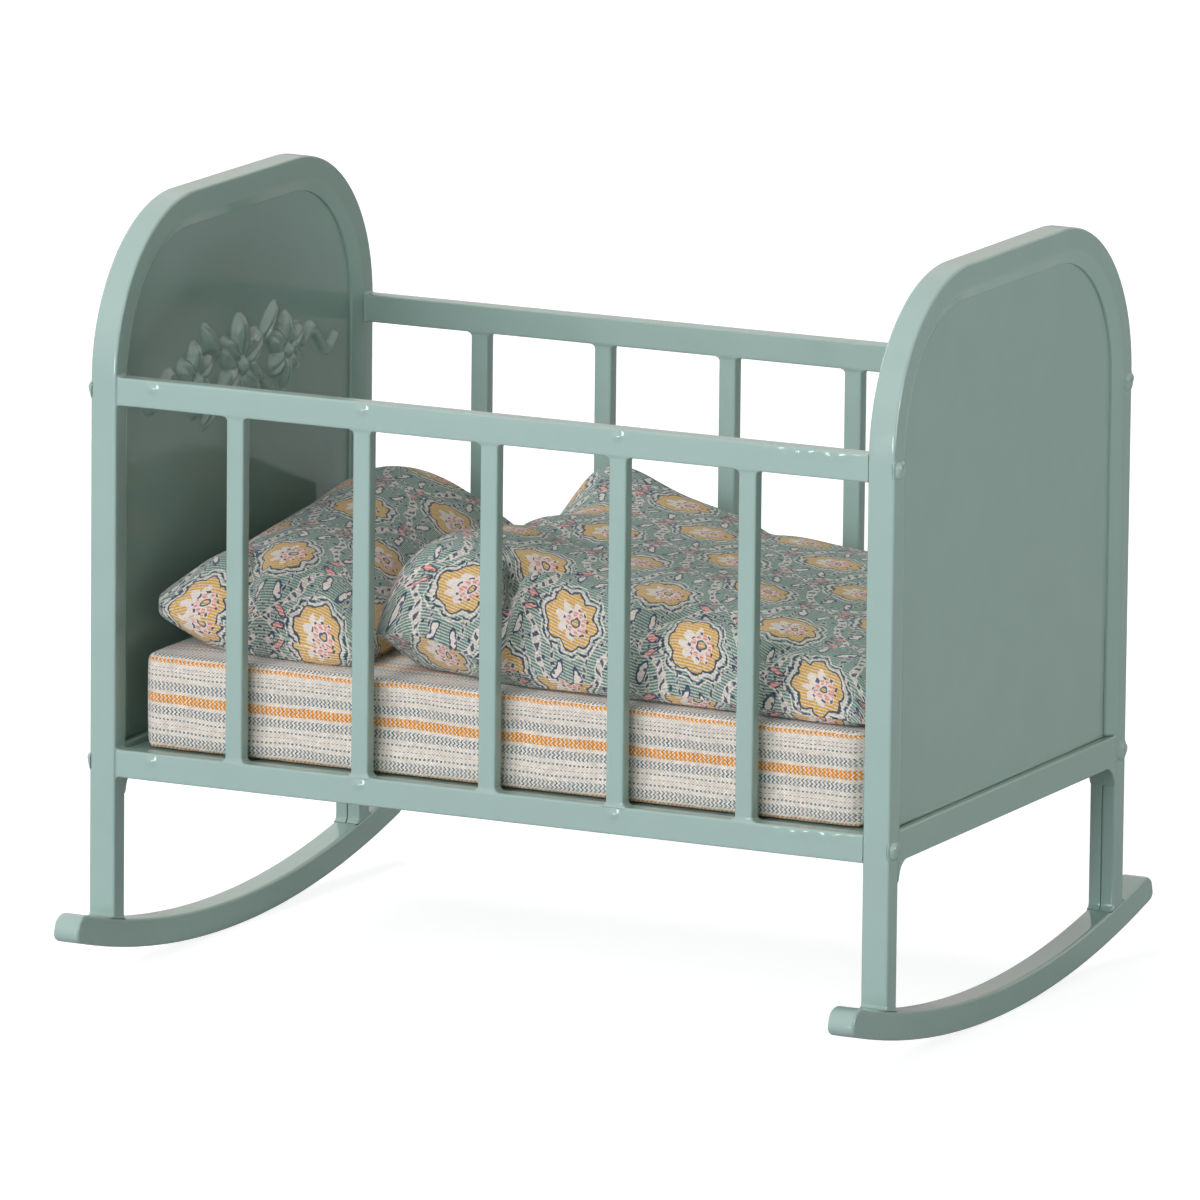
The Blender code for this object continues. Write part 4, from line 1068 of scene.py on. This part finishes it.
def stuffed(name, shape, counts, body, stands_for, cap, pressure):
    """A stuffed piece of an upper and a lower grid that share their seam.

    shape(u, v) gives both grids. The cloth solver runs on every third line of them, and its
    movement is carried to all lines, smoothed, and kept clear of the mattress.
    """
    def grids(lines):
        upper, lower = shape(*np.meshgrid(*lines, indexing="ij"))
        lower[[0, -1]], lower[:, [0, -1]] = upper[[0, -1]], upper[:, [0, -1]]
        return upper, lower

    fine = [even_lines(count) for count in counts]
    coarse = [even_lines(count // 3) for count in counts]
    small = grids(coarse)
    move = settled(*joined(small), cap, pressure).reshape(2, *small[0].shape)
    upper, lower = grids(fine)
    for grid, shift in ((upper, move[0]), (lower, move[1])):
        floor = mattress_top(grid[..., 0], grid[..., 1]) + 0.25 * MM
        grid += softened(refined(shift, coarse, fine), 3)
        grid[..., 2] = np.maximum(grid[..., 2], floor)
    seam = (upper + lower) / 2
    for grid in (upper, lower):
        grid[[0, -1]], grid[:, [0, -1]] = seam[[0, -1]], seam[:, [0, -1]]
    points, faces = joined([upper, lower])
    piece = add_piece(name, points, faces.tolist(), "printed_twill", body, stands_for,
                      cloth=cloth_map(upper, lower))
    return piece


def creases(x, y, table):
    """Depth of the creases in a table of (line, width), summed.

    Each runs along a line of (x, y, depth) places in millimetres, and is the largest of
    depth * exp(-(distance / width)^1.5) over the line's straight runs.
    """
    total = np.zeros_like(x)
    for line, width in table:
        deepest = np.zeros_like(x)
        for (x0, y0, d0), (x1, y1, d1) in zip(line[:-1], line[1:]):
            run_x, run_y = x1 - x0, y1 - y0
            px, py = x / MM - x0, y / MM - y0
            along = np.clip((px * run_x + py * run_y) / (run_x ** 2 + run_y ** 2), 0, 1)
            away = np.hypot(px - along * run_x, py - along * run_y)
            here = (d0 + (d1 - d0) * along) * np.exp(-(away / width) ** 1.5)
            deepest = np.maximum(deepest, here)
        total = total + deepest * MM
    return total


def bumps(x, y, table):
    """Round swellings from a table of (x, y, reach_x, reach_y, height) in millimetres, summed.

    Each is height * exp(-(dx/reach_x)^2 - (dy/reach_y)^2).
    """
    total = np.zeros_like(x)
    for bx, by, reach_x, reach_y, height in table:
        dx, dy = (x / MM - bx) / reach_x, (y / MM - by) / reach_y
        total = total + height * MM * np.exp(-dx ** 2 - dy ** 2)
    return total


PILLOW_CREASES = (
    (((-43, -37, 3.0), (-45, -28, 2.4), (-47, -20, 0.0)), 1.6),
    (((-34, -36, 1.2), (-37, -14, 0.0)), 2.2),
    (((-58, -20, 1.0), (-44, -8, 0.0)), 2.4),
    (((-24, 30, 1.3), (-38, 14, 0.0)), 2.6),
    (((-52, 34, 1.0), (-46, 22, 0.0)), 2.2))
PILLOW_BUMPS = ((-51, -28, 5, 6, 1.3), (-33, -24, 8, 10, 1.6), (-48, 22, 9, 12, 1.0))
PILLOW_EDGE = 1.7 * MM


def pillow():
    """A stuffed pillow, highest behind its middle, its head end propped up on the headboard.

    The seam rises towards the headboard by lean * ((1 - u) / 2)^2, more at the rear. The edge is
    blunt, the root of the smaller of 1 - u^14 and 1 - v^18, and the corners are drawn in. The top
    bulges by (1 - u^2) sqrt(1 - v^4). Soft folds run in from the front edge and from the corners.
    """
    low, high = PILLOW_LOW, PILLOW_HIGH
    half_x, half_y, mid_x = (high[0] - low[0]) / 2, (high[1] - low[1]) / 2, (high[0] + low[0]) / 2

    def shape(u, v):
        corner = np.abs(u * v) ** 12
        x = mid_x + u * (half_x - 1.2 * MM * (1 - v ** 2) - 1.5 * MM * corner)
        y = v * (half_y - 1.2 * MM * (1 - u ** 2) - 1.9 * MM * corner)
        blunt = np.sqrt(np.clip(np.minimum(1 - u ** 14, 1 - v ** 18), 0, 1))
        puff = (1 - u ** 2) * np.sqrt(np.clip(1 - v ** 4, 0, 1))
        bed = mattress_top(x, y) + 0.3 * MM
        seam = bed + 2.4 * MM + (6.8 + 2.8 * v) * MM * ((1 - u) / 2) ** 2
        fine = 0.13 * MM * np.sin(x / (2.3 * MM) + 1.5 * np.sin(y / (4 * MM))) * np.abs(v) ** 6
        rise = bumps(x, y, PILLOW_BUMPS) - creases(x, y, PILLOW_CREASES) + fine
        top = seam + PILLOW_EDGE * blunt + puff * (10.2 + 2.2 * v) * MM + blunt * rise
        under = np.maximum(bed, seam - PILLOW_EDGE * blunt - 6.0 * MM * puff)
        return (np.stack([x, y, np.maximum(top, under + 0.1 * MM)], -1),
                np.stack([x, y, under], -1))

    return stuffed("printed_pillow", shape, (120, 171), "loose_pillow", ["pillow"],
                   0.6 * MM, 3.0)


DUVET_CREASES = (
    (((0.2, -37, 4.0), (-1.0, -33, 5.5), (-2.2, -28, 5.0), (3, -25, 2.6), (12, -24, 0.0)), 1.5),
    (((21, -37, 0.6), (21, -33, 1.8), (26, -28, 2.2), (33, -27, 1.6), (40, -30, 0.0)), 1.7),
    (((40, -35.4, 0.4), (46, -34.6, 2.4), (60, -34.2, 2.0)), 1.1),
    (((41, -32, 2.4), (45, -27, 1.4), (50, -24, 0.0)), 1.8),
    (((-21, 2, 1.6), (2, -8, 0.8), (16, -10, 0.0)), 3.0),
    (((10, 37, 1.6), (14, 22, 1.0), (20, 10, 0.0)), 3.6),
    (((60, 8, 1.2), (34, 2, 0.0)), 3.6),
    (((36, 36, 1.4), (40, 20, 0.0)), 3.0))
DUVET_BUMPS = ((-13, -22, 8, 8, 1.6), (31, -33, 8, 5, 1.2), (8, -31, 6, 6, 1.0),
               (-12, 29, 7, 6, 1.4), (24, -14, 9, 8, 0.8),
               (-19, 14, 9, 9, -3.2), (24, 30, 16, 14, -1.6))      # the last two are hollows
FRONT_HILL = ((-16, -37, 12, 9, 2.2),)
FRONT_LIFT = ((-16, -37, 12, 5, 2.0),)


def duvet():
    """A puffed duvet, in lobes between creases that run in from its front edge.

    Its edge is blunt, puff = sqrt((1 - u^12)(1 - v^12)). Its top stands highest towards the pillow,
    in a hill at the front and a turned-up corner at the rear, and falls towards the foot end.
    """
    low, high = DUVET_LOW, DUVET_HIGH
    half_x, half_y, mid_x = (high[0] - low[0]) / 2, (high[1] - low[1]) / 2, (high[0] + low[0]) / 2

    def shape(u, v):
        x = mid_x + u * (half_x - 0.8 * MM * (1 - v ** 2))
        y = v * (half_y - 0.8 * MM * (1 - u ** 2))
        puff = np.sqrt(np.clip((1 - u ** 12) * (1 - v ** 12), 0, 1))
        bed = mattress_top(x, y) + 0.3 * MM
        corner = ((1 - u) / 2 * (1 + v) / 2) ** 6
        seam = bed + (1.8 - 0.9 * u) * MM + 9.5 * MM * corner + bumps(x, y, FRONT_HILL)
        crown = (13.2 - 3.9 * u + 0.5 * v + 1.2 * u * v) * MM
        fine = 0.12 * MM * np.sin(x / (2.6 * MM) + 1.5 * np.sin(y / (5 * MM))) * np.abs(v) ** 8
        rise = bumps(x, y, DUVET_BUMPS) - creases(x, y, DUVET_CREASES) + fine
        top = seam + puff * (crown + rise)
        under = np.maximum(bed, seam - 5.2 * MM * puff ** 2 + bumps(x, y, FRONT_LIFT))
        return (np.stack([x, y, np.maximum(top, under + 0.1 * MM)], -1),
                np.stack([x, y, under], -1))

    return stuffed("printed_duvet", shape, (231, 201), "loose_duvet", ["duvet"],
                   0.7 * MM, 3.0)


# Stage ----------------------------------------------------------------------------------------

CAMERA_PLACE = (0.92456, -1.88152, 0.47810)
CAMERA_TURN = (-26.2139, -11.3999, 0.5969)     # yaw, pitch and roll in degrees
CAMERA_LENS = 435.38

# Each lamp: name, place, target, width and height, watts, colour, whether the enamel mirrors it,
# and whether it lights the surfaces
LAMPS = (
    ("key", (-0.25, -1.28, 0.46), (0, 0, 0.05), (1.3, 1.3), 23.2, (1.03, 0.98, 1.07), False, True),
    ("fill", (1.20, 0.12, 0.09), (0, 0, 0.06), (0.5, 0.36), 5.6, (0.99, 0.99, 1.0), True, True),
    ("rim", (-1.00, 0.60, 0.25), (0, 0, 0.06), (0.4, 0.4), 2.2, (1.0, 0.98, 0.96), True, True),
    ("top", (-0.40, 0.20, 0.90), (0, 0, 0.08), (0.5, 0.5), 3.7, (1.0, 0.98, 0.98), False, True),
    ("card", (0.42, -0.25, 0.004), (0.42, -0.25, 1.0), (0.15, 0.15), 0.9, (1, 1, 1), False, True),
    ("right_strip", (0.99, -0.05, 0.32), (0, 0, 0.08), (0.8, 0.10), 1.0, (1, 1, 1), True, False),
    ("low_front", (-0.20, -1.30, 0.10), (0, 0, 0.08), (0.5, 0.22), 4.6, (1, 1, 1), True, False),
    ("back_strip", (0.66, 0.76, 0.36), (0, 0, 0.08), (0.6, 0.06), 0.45, (1, 1, 1), True, False))
FLOOR_REACH = 6.0


def add_camera():
    """A long lens at the photograph's viewing angle."""
    yaw, pitch, roll = map(math.radians, CAMERA_TURN)
    ahead = Vector((math.sin(yaw) * math.cos(pitch), math.cos(yaw) * math.cos(pitch),
                    math.sin(pitch)))
    right = Vector((math.cos(yaw), -math.sin(yaw), 0))
    up = right.cross(ahead)
    level = math.cos(roll) * right + math.sin(roll) * up
    upright = -math.sin(roll) * right + math.cos(roll) * up
    data = bpy.data.cameras.new("camera")
    data.sensor_width = 36
    data.lens = CAMERA_LENS
    data.clip_start, data.clip_end = 0.05, 20
    camera = bpy.data.objects.new("camera", data)
    turn = Matrix((level, upright, -ahead)).transposed().to_4x4()
    turn.translation = Vector(CAMERA_PLACE)
    camera.matrix_world = turn
    bpy.context.scene.collection.objects.link(camera)
    bpy.context.scene.camera = camera


def add_lamp(name, place, target, size, power, colour, mirrored, lights):
    """A soft lamp of a width and height that faces the target.

    The enamel mirrors it only if mirrored is true, and it lights surfaces only if lights is.
    """
    data = bpy.data.lights.new(name, "AREA")
    data.shape = "RECTANGLE"
    data.size, data.size_y = size
    data.energy = power
    data.color = colour
    lamp = bpy.data.objects.new(name, data)
    lamp.location = place
    lamp.visible_camera = False
    lamp.visible_glossy = mirrored
    lamp.visible_diffuse = lights
    lamp.rotation_euler = (Vector(target) - Vector(place)).to_track_quat("-Z", "Y").to_euler()
    bpy.context.scene.collection.objects.link(lamp)


def pale_paper():
    """Matt white paper: a pale floor that keeps a soft shadow and looks white to the camera.

    In reflections it is nearly as bright as the studio behind it, so no horizon shows in them.
    """
    material, tree, shader = blank_material("pale_paper")
    shader.inputs["Base Color"].default_value = (0.42, 0.42, 0.42, 1)
    shader.inputs["Roughness"].default_value = 1.0
    shader.inputs["Specular IOR Level"].default_value = 0.0
    ray = node(tree, "ShaderNodeLightPath")
    rays = {"camera": ray.outputs["Is Camera Ray"], "gloss": ray.outputs["Is Glossy Ray"]}
    seen = work_out(tree, rays, [("seen", "camera", "MULTIPLY", 0.86),
                                 ("seen", "gloss", "MULTIPLY_ADD", 0.20, "seen")])["seen"]
    glow = node(tree, "ShaderNodeEmission", {"Color": (1, 1, 1, 1), "Strength": seen})
    both = node(tree, "ShaderNodeAddShader", {0: shader, 1: glow})
    tree.links.new(both.outputs[0], tree.nodes["Material Output"].inputs["Surface"])
    return material


def add_world():
    """An even studio: dim pale light from everywhere, and white to the camera.

    Reflections show it brighter and warmer, and brightest high up.
    """
    world = bpy.data.worlds.new("studio")
    bpy.context.scene.world = world
    world.use_nodes = True
    tree = world.node_tree
    tree.nodes.clear()
    ray = node(tree, "ShaderNodeLightPath")
    place = node(tree, "ShaderNodeTexCoord").outputs["Object"]
    height = node(tree, "ShaderNodeSeparateXYZ", {0: place}).outputs[2]
    camera, gloss = ray.outputs["Is Camera Ray"], ray.outputs["Is Glossy Ray"]
    level = work_out(tree, {"camera": camera, "gloss": gloss, "up": height}, [
        ("up", "up", "MULTIPLY_ADD", 1.5, 0.45, "MAXIMUM", 0.45, "MINIMUM", 1.3),
        ("level", "gloss", "MULTIPLY_ADD", "up", 0.08, "MAXIMUM", "camera")])["level"]
    colour = layered(tree, (0.93, 1.0, 0.95, 1), [(gloss, (1.0, 0.94, 0.91, 1)),
                                                  (camera, (1, 1, 1, 1))])
    sky = node(tree, "ShaderNodeBackground", {"Color": colour, "Strength": level})
    node(tree, "ShaderNodeOutputWorld", {"Surface": sky})


# Operators ------------------------------------------------------------------------------------

class CRADLE_OT_stage(bpy.types.Operator):
    """Add the camera, the soft lamps, the pale floor and the studio world"""
    bl_idname = "cradle.stage"
    bl_label = "Stage"

    def execute(self, context):
        context.scene.view_settings.view_transform = "Standard"
        add_camera()
        add_world()
        floor = bpy.data.meshes.new("floor")
        floor.from_pydata([(a * FLOOR_REACH, b * FLOOR_REACH, 0)
                           for a, b in ((-1, -1), (1, -1), (1, 1), (-1, 1))], [], [(0, 1, 2, 3)])
        floor.materials.append(pale_paper())
        sheet = bpy.data.objects.new("floor", floor)
        sheet.location.z = -0.02 * MM
        context.scene.collection.objects.link(sheet)
        for lamp in LAMPS:
            add_lamp(*lamp)
        return {"FINISHED"}


class CRADLE_OT_end_frames(bpy.types.Operator):
    """Add the arched rim and legs of both ends"""
    bl_idname = "cradle.end_frames"
    bl_label = "End frames"

    def execute(self, context):
        for end, side in ENDS:
            end_frame(end, side * FRAME_X)
        return {"FINISHED"}


class CRADLE_OT_end_panels(bpy.types.Operator):
    """Add the sheets inside the rims, the headboard's with its pressed spray"""
    bl_idname = "cradle.end_panels"
    bl_label = "End panels"

    def execute(self, context):
        for end, side in ENDS:
            end_panel(end, side * FRAME_X, end == "headboard")
        return {"FINISHED"}


class CRADLE_OT_crossbars(bpy.types.Operator):
    """Add the bars under the panels"""
    bl_idname = "cradle.crossbars"
    bl_label = "Crossbars"

    def execute(self, context):
        for end, side in ENDS:
            crossbar(end, side * FRAME_X)
        return {"FINISHED"}


class CRADLE_OT_rockers(bpy.types.Operator):
    """Add the two curved rockers"""
    bl_idname = "cradle.rockers"
    bl_label = "Rockers"

    def execute(self, context):
        for end, side in ENDS:
            rocker(end, side * FRAME_X)
        return {"FINISHED"}


class CRADLE_OT_rails(bpy.types.Operator):
    """Add the four side rails and the hammered heads of their tenons"""
    bl_idname = "cradle.rails"
    bl_label = "Rails"

    def execute(self, context):
        for side, sign in SIDES:
            for level in RAIL_BOXES:
                rail(side, sign, level)
        tenon_heads()
        return {"FINISHED"}


class CRADLE_OT_bars(bpy.types.Operator):
    """Add the ten upright bars"""
    bl_idname = "cradle.bars"
    bl_label = "Bars"

    def execute(self, context):
        for side, _ in SIDES:
            for index in range(1, 6):
                bar(side, index)
        return {"FINISHED"}


class CRADLE_OT_bed_base(bpy.types.Operator):
    """Give the CAD tray under the mattress its enamel"""
    bl_idname = "cradle.bed_base"
    bl_label = "Bed base"

    def execute(self, context):
        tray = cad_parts["bed_base"]
        for slot in tray.material_slots:
            slot.material = material_named("stoved_enamel")
        return {"FINISHED"}


class CRADLE_OT_mattress(bpy.types.Operator):
    """Add the striped mattress"""
    bl_idname = "cradle.mattress"
    bl_label = "Mattress"

    def execute(self, context):
        mattress()
        return {"FINISHED"}


class CRADLE_OT_pillow(bpy.types.Operator):
    """Add the printed pillow"""
    bl_idname = "cradle.pillow"
    bl_label = "Pillow"

    def execute(self, context):
        pillow()
        return {"FINISHED"}


class CRADLE_OT_duvet(bpy.types.Operator):
    """Add the printed duvet"""
    bl_idname = "cradle.duvet"
    bl_label = "Duvet"

    def execute(self, context):
        duvet()
        return {"FINISHED"}


class CRADLE_PT_looks(bpy.types.Panel):
    """Lists the sizes, the colours and the pieces in order"""
    bl_idname = "CRADLE_PT_looks"
    bl_label = "Doll cradle"
    bl_space_type = "VIEW_3D"
    bl_region_type = "UI"
    bl_category = "Cradle"

    def draw(self, context):
        for group in (context.scene.cradle_sizes, context.scene.cradle_colours):
            box = self.layout.box()
            for name in group.__annotations__:
                box.prop(group, name)
        for operator in OPERATORS:
            self.layout.operator(operator.bl_idname)


OPERATORS = (
    CRADLE_OT_stage, CRADLE_OT_end_frames, CRADLE_OT_end_panels, CRADLE_OT_crossbars,
    CRADLE_OT_rockers, CRADLE_OT_rails, CRADLE_OT_bars, CRADLE_OT_bed_base, CRADLE_OT_mattress,
    CRADLE_OT_pillow, CRADLE_OT_duvet)
CLASSES = (CradleSizes, CradleColours) + OPERATORS + (CRADLE_PT_looks,)


def register():
    """Register the classes and hang the settings on the scene."""
    for cls in CLASSES:
        bpy.utils.register_class(cls)
    bpy.types.Scene.cradle_sizes = bpy.props.PointerProperty(type=CradleSizes)
    bpy.types.Scene.cradle_colours = bpy.props.PointerProperty(type=CradleColours)


def unregister():
    """Take the settings off the scene and unregister the classes."""
    del bpy.types.Scene.cradle_colours
    del bpy.types.Scene.cradle_sizes
    for cls in reversed(CLASSES):
        bpy.utils.unregister_class(cls)


def main():
    """Build everything in order."""
    register()
    bpy.ops.cradle.stage()
    bpy.ops.cradle.end_frames()
    bpy.ops.cradle.end_panels()
    bpy.ops.cradle.crossbars()
    bpy.ops.cradle.rockers()
    bpy.ops.cradle.rails()
    bpy.ops.cradle.bars()
    bpy.ops.cradle.bed_base()
    bpy.ops.cradle.mattress()
    bpy.ops.cradle.pillow()
    bpy.ops.cradle.duvet()


if __name__ == "__main__":
    main()
